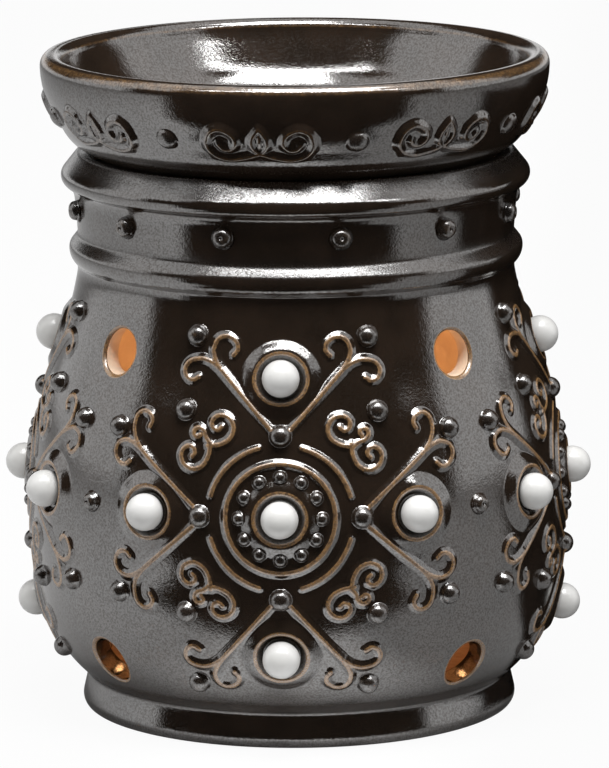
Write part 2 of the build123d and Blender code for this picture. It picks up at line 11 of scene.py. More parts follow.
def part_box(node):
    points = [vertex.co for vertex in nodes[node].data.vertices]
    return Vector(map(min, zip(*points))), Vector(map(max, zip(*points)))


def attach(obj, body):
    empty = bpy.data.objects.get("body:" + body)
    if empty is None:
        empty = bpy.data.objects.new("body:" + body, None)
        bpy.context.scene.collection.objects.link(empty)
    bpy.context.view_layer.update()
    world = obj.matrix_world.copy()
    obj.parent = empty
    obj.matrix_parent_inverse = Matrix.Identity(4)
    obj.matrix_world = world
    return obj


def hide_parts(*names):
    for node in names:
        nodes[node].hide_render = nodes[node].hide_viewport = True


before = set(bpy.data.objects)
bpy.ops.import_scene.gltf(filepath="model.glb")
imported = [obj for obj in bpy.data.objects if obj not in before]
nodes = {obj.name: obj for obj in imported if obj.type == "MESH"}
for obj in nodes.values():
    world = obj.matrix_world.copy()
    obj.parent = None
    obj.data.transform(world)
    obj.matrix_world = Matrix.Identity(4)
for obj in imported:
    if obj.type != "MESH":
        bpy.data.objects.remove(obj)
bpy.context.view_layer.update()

MM = 0.001

# Vessel outline in millimetres, as radius and height
FOOT_EDGE = (48.7, 0.2)
FOOT_CREST = (49.5, 1.8)
FOOT_FACE = (49.35, 3.0)
GROOVE = (48.2, 8.0)
HIP = (58.9, 25.5)
BELLY = (61.1, 48.0)
SHOULDER = (55.5, 79.0)
WAIST = (49.5, 100.5)
RIB_BOTTOM = (49.5, 102.2)
RIB_CREST = (51.4, 105.6)
RIB_SHOULDER = (51.25, 106.8)
RIB_FLANK = (49.4, 109.05)
RIB_TOP = (49.45, 110.0)
NECK_TOP = (50.0, 116.8)
ROLL_FOOT = (51.1, 120.0)
ROLL_CREST = (53.05, 122.9)
ROLL_SHOULDER = (52.25, 124.2)
ROLL_FLANK = (49.35, 127.85)
SEAT_EDGE = (48.9, 127.8)
SEAT_HEIGHT = SEAT_EDGE[1]
SEAT_BORE = 45.5
SEAT_CHAMFER = 1.3
WALL = 4.5
FLOOR_TOP = 12.0
FLOOR_UNDERSIDE = 7.5
FLOOR_COVE = 43.0
LAMP_HOLE = 23.0
FOOT_INNER = 40.8
NOTCH_WIDTH = 9.0
NOTCH_HEIGHT = 6.0

# Light holes, between the medallions
HOLE_RADIUS = 5.0
HOLE_LIP = 0.8
HOLE_HEIGHTS = (87.7, 18.0)
HOLE_COUNT = 4

# Dish outline
DISH_LEDGE = (47.4, 128.3)
DISH_FLARE = (1.0, 0.45)
DISH_KNUCKLE = (53.2, 134.6)
DISH_RIM = (57.5, 147.4)
DISH_LIP = 2.6
DISH_FLOOR = 132.0
DISH_FLOOR_RADIUS = 35.0
DISH_BEND = (48.5, 140.2)
DISH_UNDERSIDE = 127.5
DISH_FOOT = 44.9
DISH_FOOT_WIDTH = 4.2
DISH_FOOT_BOTTOM = 121.8

# Medallions
MEDALLION_HEIGHT = 55.0
MEDALLION_NAMES = ("front", "right", "back", "left")
PEARL_RADIUS = 4.15
PEARL_STAND = 1.9
PEARL_BACK = 0.1
SIDE_PEARL_ANGLE = 28.9
TOP_PEARL_RISE = 29.7
BOTTOM_PEARL_DROP = 31.3


# Lines in the plane of radius and height

ARC_STEP = 0.25
STRAIGHT_WITHIN = 1e-9
SAME_WITHIN = 1e-7


def arc_about(start, direction, end):
    """Points along the arc that leaves start in the given direction and ends at end."""
    start, end = np.array(start, float), np.array(end, float)
    along = np.array(direction, float) / np.hypot(*direction)
    across = np.array((-along[1], along[0]))
    chord = end - start
    if abs(chord @ across) < STRAIGHT_WITHIN:
        return np.linspace(start, end, max(2, int(np.hypot(*chord) / ARC_STEP)))
    radius = chord @ chord / (2 * chord @ across)
    turn = 2 * math.atan2(chord @ across, chord @ along)
    count = max(4, int(abs(radius * turn) / ARC_STEP))
    angles = np.linspace(0, turn, count)[:, None]
    return start + radius * (np.sin(angles) * along + (1 - np.cos(angles)) * across)


def arc_through(start, middle, end):
    """Points along the arc through three points."""
    a, b, c = (np.array(point, float) for point in (start, middle, end))
    to_b, to_c = b - a, c - a
    cross = 2 * (to_b[0] * to_c[1] - to_b[1] * to_c[0])
    centre = a + np.array((to_c[1] * (to_b @ to_b) - to_b[1] * (to_c @ to_c),
                           to_b[0] * (to_c @ to_c) - to_c[0] * (to_b @ to_b))) / cross
    spoke = a - centre
    direction = np.array((-spoke[1], spoke[0])) * math.copysign(1, cross)
    return arc_about(start, direction, end)


def runs(*points):
    """Points along straight runs."""
    stretches = []
    for start, end in zip(points, points[1:]):
        length = math.dist(start, end)
        stretches.append(np.linspace(start, end, max(2, int(length / ARC_STEP))))
    return np.concatenate(stretches)


def body_face(inset, bottom, top):
    """Face of the body from the groove up to the waist, as four tangent arcs."""
    belly = (BELLY[0] - inset, BELLY[1])
    to_hip = arc_about(belly, (0, -1), (HIP[0] - inset, HIP[1]))
    to_bottom = arc_about(to_hip[-1], to_hip[-1] - to_hip[-2], bottom)
    to_shoulder = arc_about(belly, (0, 1), (SHOULDER[0] - inset, SHOULDER[1]))
    to_top = arc_about(to_shoulder[-1], to_shoulder[-1] - to_shoulder[-2], top)
    return np.concatenate((to_bottom[::-1], to_hip[::-1], to_shoulder, to_top))


def even_line(points, step, closed=False):
    """The same line with points a steady step apart."""
    points = np.array(points, float)
    if closed:
        points = np.vstack((points, points[:1]))
    lengths = np.r_[0, np.cumsum(np.hypot(*np.diff(points, axis=0).T))]
    keep = np.r_[True, np.diff(lengths) > SAME_WITHIN]
    points, lengths = points[keep], lengths[keep]
    places = np.linspace(0, lengths[-1], max(3, int(lengths[-1] / step)), endpoint=not closed)
    return np.stack([np.interp(places, lengths, points[:, axis]) for axis in range(2)], 1)


SOFT_STEP = 0.15
SPARE_TURN = math.radians(5)
SPARE_LENGTH = 1.7


def softened(outline, reach):
    """A closed outline with its corners rounded as glaze rounds them, thinned where it is straight.
    Returns the points and how sharply the outline bulges at each."""
    even = even_line(outline, SOFT_STEP, closed=True)
    span = int(3 * reach / SOFT_STEP)
    weights = np.exp(-0.5 * (np.arange(-span, span + 1) * SOFT_STEP / reach) ** 2)
    weights /= weights.sum()
    padded = np.vstack((even[-span:], even, even[:span]))
    smooth = np.stack([np.convolve(padded[:, axis], weights, "valid") for axis in range(2)], 1)
    ahead = np.roll(smooth, -1, 0) - smooth
    angles = np.unwrap(np.arctan2(ahead[:, 1], ahead[:, 0]))
    turns = np.angle(np.exp(1j * (angles - np.roll(angles, 1))))
    area = np.sum(smooth[:, 0] * np.roll(smooth[:, 1], -1) - smooth[:, 1] * np.roll(smooth[:, 0], -1))
    bulge = turns / SOFT_STEP * math.copysign(1, area)
    kept, turned_by, length = [0], 0.0, 0.0
    for index in range(1, len(smooth)):
        turned_by += abs(turns[index])
        length += SOFT_STEP
        if turned_by > SPARE_TURN or length > SPARE_LENGTH:
            kept.append(index)
            turned_by, length = 0.0, 0.0
    return smooth[kept], bulge[kept]


# Meshes

def linked(name, data):
    """A new object of the scene, at the origin."""
    thing = bpy.data.objects.new(name, data)
    bpy.context.scene.collection.objects.link(thing)
    return thing


def shade_smooth(mesh):
    """Shade every face of a mesh smooth."""
    mesh.polygons.foreach_set("use_smooth", np.full(len(mesh.polygons), True))


def piece(name, vertices, faces):
    """A smooth mesh object at the origin, from points in millimetres."""
    mesh = bpy.data.meshes.new(name)
    mesh.from_pydata((np.asarray(vertices, float) * MM).tolist(), [], [list(face) for face in faces])
    shade_smooth(mesh)
    mesh.update()
    return linked(name, mesh)


def evaluated_mesh(thing):
    """Plain mesh of an object, as its modifiers or its curve leave it."""
    return bpy.data.meshes.new_from_object(thing.evaluated_get(bpy.context.evaluated_depsgraph_get()))


def keep_result(thing):
    """Turn a piece with modifiers into its plain mesh."""
    mesh = evaluated_mesh(thing)
    mesh.name = thing.name
    thing.modifiers.clear()
    thing.data = mesh


DOUBLES_WITHIN = 1e-7


def faces_outward(thing):
    """Merge doubles and turn every face of a closed mesh outwards."""
    work = bmesh.new()
    work.from_mesh(thing.data)
    bmesh.ops.remove_doubles(work, verts=work.verts, dist=DOUBLES_WITHIN)
    bmesh.ops.recalc_face_normals(work, faces=work.faces)
    work.to_mesh(thing.data)
    work.free()


def ring_faces(rows, columns):
    """Quads of a grid that closes on itself along its rows and its columns."""
    faces = []
    for row in range(rows):
        above = (row + 1) % rows
        for column in range(columns):
            beside = (column + 1) % columns
            faces.append((row * columns + column, row * columns + beside,
                          above * columns + beside, above * columns + column))
    return faces


def outward_at(angle):
    """Level way out from the axis, at an angle from the front."""
    return np.array((math.sin(angle), -math.cos(angle), 0))


def turned(name, outline, sides):
    """Turn a closed outline about the axis. An outline that meets the axis is closed there."""
    angles = np.linspace(0, 2 * math.pi, sides, endpoint=False)
    radii, heights = np.asarray(outline, float).T
    grid = np.stack((np.outer(radii, np.sin(angles)), -np.outer(radii, np.cos(angles)),
                     np.repeat(heights[:, None], sides, 1)), -1)
    thing = piece(name, grid.reshape(-1, 3), ring_faces(len(radii), sides))
    faces_outward(thing)
    return thing


def set_values(thing, label, values):
    """Store one number for each vertex."""
    store = thing.data.attributes.new(label, "FLOAT", "POINT")
    store.data.foreach_set("value", np.asarray(values, np.float32))


def points_of(mesh):
    """Vertex positions of a mesh in millimetres."""
    flat = np.zeros(len(mesh.vertices) * 3, np.float32)
    mesh.vertices.foreach_get("co", flat)
    return flat.reshape(-1, 3) / MM


NEAREST_BATCH = 20000


def nearest_on_outline(outline, radii, heights):
    """For each place, the index of the nearest point of an outline."""
    found = np.empty(len(radii), int)
    for start in range(0, len(radii), NEAREST_BATCH):
        batch = slice(start, start + NEAREST_BATCH)
        across = radii[batch, None] - outline[:, 0]
        up = heights[batch, None] - outline[:, 1]
        found[batch] = (across**2 + up**2).argmin(1)
    return found


# Geometry node trees

def node_tree(name, inputs):
    """An empty tree that takes a geometry and the named inputs, with its group input and output."""
    tree = bpy.data.node_groups.new(name, "GeometryNodeTree")
    tree.interface.new_socket("Geometry", in_out="INPUT", socket_type="NodeSocketGeometry")
    for label, kind in inputs.items():
        tree.interface.new_socket(label, in_out="INPUT", socket_type=f"NodeSocket{kind}")
    tree.interface.new_socket("Geometry", in_out="OUTPUT", socket_type="NodeSocketGeometry")
    return tree, tree.nodes.new("NodeGroupInput"), tree.nodes.new("NodeGroupOutput")


def add_node(tree, kind, settings=None, **sockets):
    """A node with its properties set and its named sockets linked or filled."""
    node = tree.nodes.new(kind)
    for key, value in (settings or {}).items():
        setattr(node, key, value)
    for label, value in sockets.items():
        name = label.replace("_", " ")
        socket = next(s for s in node.inputs if s.name.lower() == name.lower() and s.enabled)
        plug(tree, value, socket)
    return node


def plug(tree, value, socket):
    """Link an output to a socket, or set the socket's value."""
    if isinstance(value, bpy.types.NodeSocket):
        tree.links.new(value, socket)
    else:
        socket.default_value = value


def reckon(tree, operation, first, second=None, third=None):
    """Output of a Math node."""
    node = tree.nodes.new("ShaderNodeMath")
    node.operation = operation
    for socket, value in zip(node.inputs, (first, second, third)):
        if value is not None:
            plug(tree, value, socket)
    return node.outputs[0]


def eased(tree, value, low, high, to_low, to_high):
    """Output of a Map Range node that eases between two levels."""
    node = tree.nodes.new("ShaderNodeMapRange")
    node.interpolation_type = "SMOOTHSTEP"
    for socket, setting in zip(node.inputs[:5], (value, low, high, to_low, to_high)):
        plug(tree, setting, socket)
    return node.outputs[0]


def grown(thing, tree, values):
    """Run a tree on a piece and keep the result as its plain mesh."""
    modifier = thing.modifiers.new(tree.name, "NODES")
    modifier.node_group = tree
    sockets = {item.name: item.identifier for item in tree.interface.items_tree if item.in_out == "INPUT"}
    for label, value in values.items():
        modifier[sockets[label]] = value
    keep_result(thing)
    return thing


def stored_value(tree, name, kind):
    """Output of a stored attribute."""
    return add_node(tree, "GeometryNodeInputNamedAttribute", {"data_type": kind}, Name=name).outputs[0]


def with_value(tree, geometry, name, kind, domain, value):
    """A geometry with a value stored on it."""
    node = add_node(tree, "GeometryNodeStoreNamedAttribute", {"data_type": kind, "domain": domain},
                    Geometry=geometry, Name=name)
    tree.links.new(value, node.inputs["Value"])
    return node.outputs[0]


def end_dressed(tree, geometry, given, result):
    """End a tree in real geometry that has its material."""
    real = add_node(tree, "GeometryNodeRealizeInstances", Geometry=geometry).outputs[0]
    dressed = add_node(tree, "GeometryNodeSetMaterial", Geometry=real, Material=given.outputs["Material"])
    tree.links.new(dressed.outputs[0], result.inputs[0])


DRILL_SIDES = 64


def hole_tree():
    """Round holes in two rows about the axis, cut through a wall."""
    tree, given, result = node_tree("light_holes", {
        "Hole radius": "Float", "Reach": "Float", "Lower height": "Float", "Upper height": "Float",
        "Count": "Int", "Material": "Material"})
    turn = reckon(tree, "DIVIDE", 2 * math.pi, given.outputs["Count"])
    index = tree.nodes.new("GeometryNodeInputIndex").outputs[0]
    angle = reckon(tree, "MULTIPLY", reckon(tree, "ADD", index, 0.5), turn)
    spin = add_node(tree, "ShaderNodeCombineXYZ", Z=angle).outputs[0]
    drill = add_node(tree, "GeometryNodeMeshCylinder", Vertices=DRILL_SIDES,
                     Radius=given.outputs["Hole radius"], Depth=given.outputs["Reach"]).outputs["Mesh"]
    half_way = reckon(tree, "MULTIPLY", given.outputs["Reach"], 0.5)
    spots = add_node(tree, "GeometryNodePoints", Count=given.outputs["Count"]).outputs[0]
    join = tree.nodes.new("GeometryNodeJoinGeometry")
    for row in ("Lower height", "Upper height"):
        offset = add_node(tree, "ShaderNodeCombineXYZ", X=half_way, Z=given.outputs[row]).outputs[0]
        level = add_node(tree, "GeometryNodeTransform", Geometry=drill, Translation=offset,
                         Rotation=Euler((0, math.pi / 2, 0))).outputs[0]
        drills = add_node(tree, "GeometryNodeInstanceOnPoints", Points=spots, Instance=level, Rotation=spin)
        real = add_node(tree, "GeometryNodeRealizeInstances", Geometry=drills.outputs[0])
        tree.links.new(real.outputs[0], join.inputs[0])
    cut = tree.nodes.new("GeometryNodeMeshBoolean")
    cut.operation, cut.solver = "DIFFERENCE", "EXACT"
    tree.links.new(given.outputs["Geometry"], cut.inputs["Mesh 1"])
    tree.links.new(join.outputs[0], cut.inputs["Mesh 2"])
    end_dressed(tree, cut.outputs[0], given, result)
    return tree


def seated_tree():
    """Copies of one shape set down on points, each facing out of the surface."""
    tree, given, result = node_tree("seated_pieces", {"Shape": "Object", "Material": "Material"})
    facing = stored_value(tree, "facing", "FLOAT_VECTOR")
    stand = add_node(tree, "FunctionNodeAlignRotationToVector", {"axis": "Z"}, Vector=facing)
    shape = add_node(tree, "GeometryNodeObjectInfo", Object=given.outputs["Shape"]).outputs["Geometry"]
    spots = add_node(tree, "GeometryNodeMeshToPoints", Mesh=given.outputs["Geometry"]).outputs[0]
    copies = add_node(tree, "GeometryNodeInstanceOnPoints", Points=spots, Instance=shape,
                      Rotation=stand.outputs[0]).outputs[0]
    end_dressed(tree, copies, given, result)
    return tree


# Where the glaze thins on a ridge and on a cup's rim, in millimetres off its crest
RIDGE_THIN = (0.35, 0.9)
CUP_THIN = (0.2, 0.95)
# Where a bead's matt skin ends, as a share of its radius, and how thin its glaze runs on top
BEAD_MATT_END = (0.8, 1.1)
BEAD_CREST = 0.58
LOWEST_RELIEF = 0.004


def relief_tree():
    """Raise a sheet along lines, over beads and around cups, and keep only what stands up."""
    sizes = ("Ridge slope", "Ridge round", "Cup height", "Cup slope", "Cup skirt", "Cup crest", "Cup round",
             "Bead share", "Bead blend", "Blend", "Sink")
    tree, given, result = node_tree("raised_relief", {
        "Lines": "Object", "Beads": "Object", "Cups": "Object", **dict.fromkeys(sizes, "Float"),
        "Material": "Material"})
    size = given.outputs
    here = tree.nodes.new("GeometryNodeInputPosition").outputs[0]
    reach = stored_value(tree, "reach", "FLOAT")
    lines, beads, cups = (add_node(tree, "GeometryNodeObjectInfo", Object=size[label]).outputs["Geometry"]
                          for label in ("Lines", "Beads", "Cups"))

    def at_nearest(guide_shape, kind, value):
        """A value at the nearest point of a guide."""
        near = add_node(tree, "GeometryNodeSampleNearest", {"domain": "POINT"}, Geometry=guide_shape)
        sampler = tree.nodes.new("GeometryNodeSampleIndex")
        sampler.data_type, sampler.domain = kind, "POINT"
        tree.links.new(guide_shape, sampler.inputs["Geometry"])
        tree.links.new(value, sampler.inputs["Value"])
        tree.links.new(near.outputs[0], sampler.inputs["Index"])
        return sampler.outputs[0]

    def gap_to(guide_shape):
        """Distance to the nearest point of a guide."""
        gap = tree.nodes.new("ShaderNodeVectorMath")
        gap.operation = "DISTANCE"
        tree.links.new(here, gap.inputs[0])
        tree.links.new(at_nearest(guide_shape, "FLOAT_VECTOR", here), gap.inputs[1])
        return gap.outputs["Value"]

    def rounded(distance, radius):
        """A distance whose point at zero is rounded off."""
        length = reckon(tree, "SQRT", reckon(tree, "MULTIPLY_ADD", distance, distance,
                                             reckon(tree, "MULTIPLY", radius, radius)))
        return reckon(tree, "SUBTRACT", length, radius)

    def thin_at(distance, span):
        """1 on a crest, easing to 0 over a span in millimetres off it."""
        return eased(tree, distance, span[0] * MM, span[1] * MM, 1.0, 0.0)

    line_gap = tree.nodes.new("GeometryNodeProximity")
    line_gap.target_element = "EDGES"
    tree.links.new(lines, line_gap.inputs[0])
    off_line = line_gap.outputs["Distance"]
    line_fall = rounded(off_line, size["Ridge round"])
    above = reckon(tree, "SUBTRACT", at_nearest(lines, "FLOAT", reach), line_fall)
    ridge = reckon(tree, "MULTIPLY", above, size["Ridge slope"])

    bead_gap, bead_reach = gap_to(beads), at_nearest(beads, "FLOAT", reach)
    bead_part = reckon(tree, "DIVIDE", bead_gap, bead_reach)
    share = reckon(tree, "MINIMUM", bead_part, 1.0)
    dome = reckon(tree, "SQRT", reckon(tree, "SUBTRACT", 1.0, reckon(tree, "MULTIPLY", share, share)))
    bead_rise = reckon(tree, "MULTIPLY", reckon(tree, "MULTIPLY", dome, bead_reach), size["Bead share"])
    beyond = reckon(tree, "MAXIMUM", reckon(tree, "SUBTRACT", bead_gap, bead_reach), 0.0)
    bead = reckon(tree, "SUBTRACT", bead_rise, beyond)

    off_rim = reckon(tree, "SUBTRACT", gap_to(cups), size["Cup crest"])
    skewed = reckon(tree, "MULTIPLY_ADD", reckon(tree, "MAXIMUM", off_rim, 0.0), size["Cup skirt"],
                    reckon(tree, "MINIMUM", off_rim, 0.0))
    cup_fall = reckon(tree, "MULTIPLY", rounded(skewed, size["Cup round"]), size["Cup slope"])
    cup = reckon(tree, "SUBTRACT", size["Cup height"], cup_fall)

    drawn = reckon(tree, "SMOOTH_MAX", ridge, cup, size["Blend"])
    lower = reckon(tree, "SMOOTH_MAX", drawn, 0.0, size["Blend"])
    raised = reckon(tree, "SMOOTH_MAX", lower, bead, size["Bead blend"])
    low = add_node(tree, "FunctionNodeCompare", {"data_type": "FLOAT", "operation": "LESS_THAN"})
    tree.links.new(raised, low.inputs[0])
    low.inputs[1].default_value = LOWEST_RELIEF * MM

    rims = reckon(tree, "MAXIMUM", thin_at(reckon(tree, "ABSOLUTE", off_rim), CUP_THIN),
                  reckon(tree, "MULTIPLY", dome, BEAD_CREST))
    crest = reckon(tree, "MAXIMUM", thin_at(off_line, RIDGE_THIN), rims)
    matt = eased(tree, bead_part, *BEAD_MATT_END, 1.0, 0.0)
    sheet = with_value(tree, given.outputs["Geometry"], "crest", "FLOAT", "POINT", crest)
    sheet = with_value(tree, sheet, "matt", "FLOAT", "POINT", matt)
    sheet = with_value(tree, sheet, "bare", "BOOLEAN", "FACE", low.outputs[0])
    lift = tree.nodes.new("ShaderNodeVectorMath")
    lift.operation = "SCALE"
    tree.links.new(tree.nodes.new("GeometryNodeInputNormal").outputs[0], lift.inputs[0])
    tree.links.new(reckon(tree, "SUBTRACT", raised, size["Sink"]), lift.inputs["Scale"])
    moved = add_node(tree, "GeometryNodeSetPosition", Geometry=sheet, Offset=lift.outputs[0])
    standing = add_node(tree, "GeometryNodeDeleteGeometry", {"domain": "FACE"}, Geometry=moved.outputs[0],
                        Selection=stored_value(tree, "bare", "BOOLEAN"))
    end_dressed(tree, standing.outputs[0], given, result)
    return tree


seated, relief, holes = seated_tree(), relief_tree(), hole_tree()


# Shader node groups

def shader_group(name, inputs, outputs):
    """An empty shader group with named sockets."""
    group = bpy.data.node_groups.new(name, "ShaderNodeTree")
    for label, (kind, value) in inputs.items():
        socket = group.interface.new_socket(label, in_out="INPUT", socket_type=f"NodeSocket{kind}")
        socket.default_value = value
    for label, kind in outputs.items():
        group.interface.new_socket(label, in_out="OUTPUT", socket_type=f"NodeSocket{kind}")
    return group, group.nodes.new("NodeGroupInput"), group.nodes.new("NodeGroupOutput")


def noise(tree, coordinates, scale, detail=2.0, roughness=0.5):
    """Output of a Noise node on object coordinates."""
    node = tree.nodes.new("ShaderNodeTexNoise")
    tree.links.new(coordinates, node.inputs["Vector"])
    plug(tree, scale, node.inputs["Scale"])
    node.inputs["Detail"].default_value = detail
    node.inputs["Roughness"].default_value = roughness
    return node.outputs["Fac"]


def mixed(tree, share, first, second):
    """Output of a colour mix."""
    node = tree.nodes.new("ShaderNodeMix")
    node.data_type = "RGBA"
    plug(tree, share, node.inputs["Factor"])
    plug(tree, first, node.inputs["A"])
    plug(tree, second, node.inputs["B"])
    return node.outputs["Result"]


def rgb(red, green, blue):
    """An opaque colour."""
    return (red, green, blue, 1.0)


def mottle_group():
    """Fine speckle and slow clouding of a reduced glaze: two masks and a height."""
    group, given, result = shader_group(
        "glaze_mottle",
        {"Speckle scale": ("Float", 2200.0), "Cloud scale": ("Float", 90.0)},
        {"Speckle": "Float", "Cloud": "Float", "Height": "Float"})
    place = group.nodes.new("ShaderNodeTexCoord").outputs["Object"]
    fine = noise(group, place, given.outputs["Speckle scale"], 3.0, 0.6)
    coarse = noise(group, place, reckon(group, "MULTIPLY", given.outputs["Speckle scale"], 0.33), 2.0)
    cloud = noise(group, place, given.outputs["Cloud scale"], 4.0, 0.55)
    group.links.new(eased(group, fine, 0.38, 0.66, 0.0, 1.0), result.inputs["Speckle"])
    group.links.new(eased(group, cloud, 0.35, 0.65, 0.0, 1.0), result.inputs["Cloud"])
    group.links.new(reckon(group, "ADD", fine, coarse), result.inputs["Height"])
    return group


def break_group():
    """Where glaze runs thin over a crest: a mask from the stored crest, broken up by noise."""
    group, given, result = shader_group(
        "glaze_break",
        {"Start": ("Float", 0.45), "Full": ("Float", 0.95), "Raggedness": ("Float", 0.35)},
        {"Thin": "Float", "Matt": "Float"})
    crest = group.nodes.new("ShaderNodeAttribute")
    crest.attribute_name = "crest"
    matt = group.nodes.new("ShaderNodeAttribute")
    matt.attribute_name = "matt"
    group.links.new(matt.outputs["Fac"], result.inputs["Matt"])
    place = group.nodes.new("ShaderNodeTexCoord").outputs["Object"]
    ragged = reckon(group, "MULTIPLY", reckon(group, "SUBTRACT", noise(group, place, 700.0, 3.0), 0.5),
                    given.outputs["Raggedness"])
    level = reckon(group, "ADD", crest.outputs["Fac"], ragged)
    group.links.new(eased(group, level, given.outputs["Start"], given.outputs["Full"], 0.0, 1.0),
                    result.inputs["Thin"])
    return group


def grain_group():
    """Fine scuffs of worked metal or moulded plastic: a mask and a height, stretched along one axis."""
    group, given, result = shader_group(
        "worked_grain",
        {"Scale": ("Float", 900.0), "Stretch": ("Vector", (1.0, 1.0, 1.0))},
        {"Scuff": "Float", "Tone": "Float", "Height": "Float"})
    place = group.nodes.new("ShaderNodeTexCoord").outputs["Object"]
    stretched = group.nodes.new("ShaderNodeVectorMath")
    stretched.operation = "MULTIPLY"
    group.links.new(place, stretched.inputs[0])
    group.links.new(given.outputs["Stretch"], stretched.inputs[1])
    fine = noise(group, stretched.outputs[0], given.outputs["Scale"], 4.0, 0.65)
    slow = noise(group, place, 160.0, 3.0)
    group.links.new(eased(group, fine, 0.35, 0.7, 0.0, 1.0), result.inputs["Scuff"])
    group.links.new(eased(group, slow, 0.3, 0.7, 0.0, 1.0), result.inputs["Tone"])
    group.links.new(fine, result.inputs["Height"])
    return group


mottle, thin_glaze, grain = mottle_group(), break_group(), grain_group()


def material(name):
    """A new material with its node tree and Principled shader."""
    made = bpy.data.materials.new(name)
    made.use_nodes = True
    return made, made.node_tree, made.node_tree.nodes["Principled BSDF"]


def placed(tree, group, **values):
    """A group node with its inputs set."""
    node = tree.nodes.new("ShaderNodeGroup")
    node.node_tree = group
    for label, value in values.items():
        plug(tree, value, node.inputs[label.replace("_", " ")])
    return node.outputs


def bumped(tree, shader, height, strength, distance):
    """Feed a height into the shader's normal."""
    bump = tree.nodes.new("ShaderNodeBump")
    bump.inputs["Strength"].default_value = strength
    bump.inputs["Distance"].default_value = distance * MM
    tree.links.new(height, bump.inputs["Height"])
    tree.links.new(bump.outputs[0], shader.inputs["Normal"])


def glaze_material(name, start, full):
    """Lustre glaze over dark brown slip, which breaks to copper brown where it is thin."""
    made, tree, shader = material(name)
    spots = placed(tree, mottle)
    worn = placed(tree, thin_glaze, Start=start, Full=full)
    thin = worn["Thin"]
    slip = mixed(tree, spots["Cloud"], rgb(0.014, 0.009, 0.006), rgb(0.024, 0.015, 0.010))
    half_speckle = reckon(tree, "MULTIPLY", spots["Speckle"], 0.5)
    speckled = mixed(tree, half_speckle, slip, rgb(0.05, 0.036, 0.026))
    copper = mixed(tree, spots["Speckle"], rgb(0.28, 0.155, 0.058), rgb(0.12, 0.06, 0.024))
    tree.links.new(mixed(tree, thin, speckled, copper), shader.inputs["Base Color"])
    tree.links.new(reckon(tree, "MULTIPLY", spots["Speckle"], 0.48), shader.inputs["Metallic"])
    wear = eased(tree, spots["Speckle"], 0.0, 1.0, 0.06, 0.13)
    wear = reckon(tree, "MULTIPLY_ADD", worn["Matt"], 0.15, wear)
    tree.links.new(reckon(tree, "MULTIPLY_ADD", thin, 0.2, wear), shader.inputs["Roughness"])
    shader.inputs["IOR"].default_value = 2.65
    bumped(tree, shader, spots["Height"], 0.42, 0.06)
    return made


def bisque_material():
    """Bare fired clay inside the lamp chamber, darker towards its floor."""
    made, tree, shader = material("bare_clay")
    scuffs = placed(tree, grain, Scale=600.0)
    place = tree.nodes.new("ShaderNodeSeparateXYZ")
    tree.links.new(tree.nodes.new("ShaderNodeTexCoord").outputs["Object"], place.inputs[0])
    pale = mixed(tree, scuffs["Tone"], rgb(0.62, 0.47, 0.34), rgb(0.70, 0.55, 0.41))
    dark = mixed(tree, scuffs["Tone"], rgb(0.20, 0.13, 0.08), rgb(0.26, 0.17, 0.11))
    tree.links.new(mixed(tree, eased(tree, place.outputs["Z"], 0.02, 0.045, 0.0, 1.0), dark, pale),
                   shader.inputs["Base Color"])
    tree.links.new(eased(tree, scuffs["Scuff"], 0.0, 1.0, 0.7, 0.9), shader.inputs["Roughness"])
    bumped(tree, shader, scuffs["Height"], 0.3, 0.2)
    return made


def pearl_material():
    """Satin pearl skin over a pale bead."""
    made, tree, shader = material("pearl_skin")
    scuffs = placed(tree, grain, Scale=350.0)
    tree.links.new(mixed(tree, scuffs["Tone"], rgb(0.59, 0.585, 0.568), rgb(0.64, 0.635, 0.622)),
                   shader.inputs["Base Color"])
    tree.links.new(eased(tree, scuffs["Scuff"], 0.0, 1.0, 0.30, 0.38), shader.inputs["Roughness"])
    shader.inputs["Coat Weight"].default_value = 0.5
    shader.inputs["Coat Roughness"].default_value = 0.18
    shader.inputs["Sheen Weight"].default_value = 0.15
    bumped(tree, shader, scuffs["Height"], 0.05, 0.05)
    return made


def metal_material(name, light, dark, smooth, rough, stretch):
    """Worked metal with scuffs along its grain."""
    made, tree, shader = material(name)
    scuffs = placed(tree, grain, Scale=700.0, Stretch=stretch)
    tree.links.new(mixed(tree, scuffs["Tone"], rgb(*light), rgb(*dark)), shader.inputs["Base Color"])
    tree.links.new(eased(tree, scuffs["Scuff"], 0.0, 1.0, smooth, rough), shader.inputs["Roughness"])
    shader.inputs["Metallic"].default_value = 1.0
    bumped(tree, shader, scuffs["Height"], 0.1, 0.05)
    return made


def moulded_material(name, light, dark, smooth, rough):
    """Moulded plastic, rubber or cap glass with a faint skin."""
    made, tree, shader = material(name)
    scuffs = placed(tree, grain, Scale=1100.0)
    tree.links.new(mixed(tree, scuffs["Tone"], rgb(*light), rgb(*dark)), shader.inputs["Base Color"])
    tree.links.new(eased(tree, scuffs["Scuff"], 0.0, 1.0, smooth, rough), shader.inputs["Roughness"])
    bumped(tree, shader, scuffs["Height"], 0.15, 0.05)
    return made


def glass_material():
    """Clear bulb glass with a faint warm tint."""
    made, tree, shader = material("bulb_glass")
    scuffs = placed(tree, grain, Scale=300.0)
    tree.links.new(mixed(tree, scuffs["Tone"], rgb(0.97, 0.96, 0.94), rgb(0.93, 0.92, 0.90)),
                   shader.inputs["Base Color"])
    tree.links.new(eased(tree, scuffs["Scuff"], 0.0, 1.0, 0.0, 0.04), shader.inputs["Roughness"])
    shader.inputs["Transmission Weight"].default_value = 1.0
    shader.inputs["IOR"].default_value = 1.5
    return made


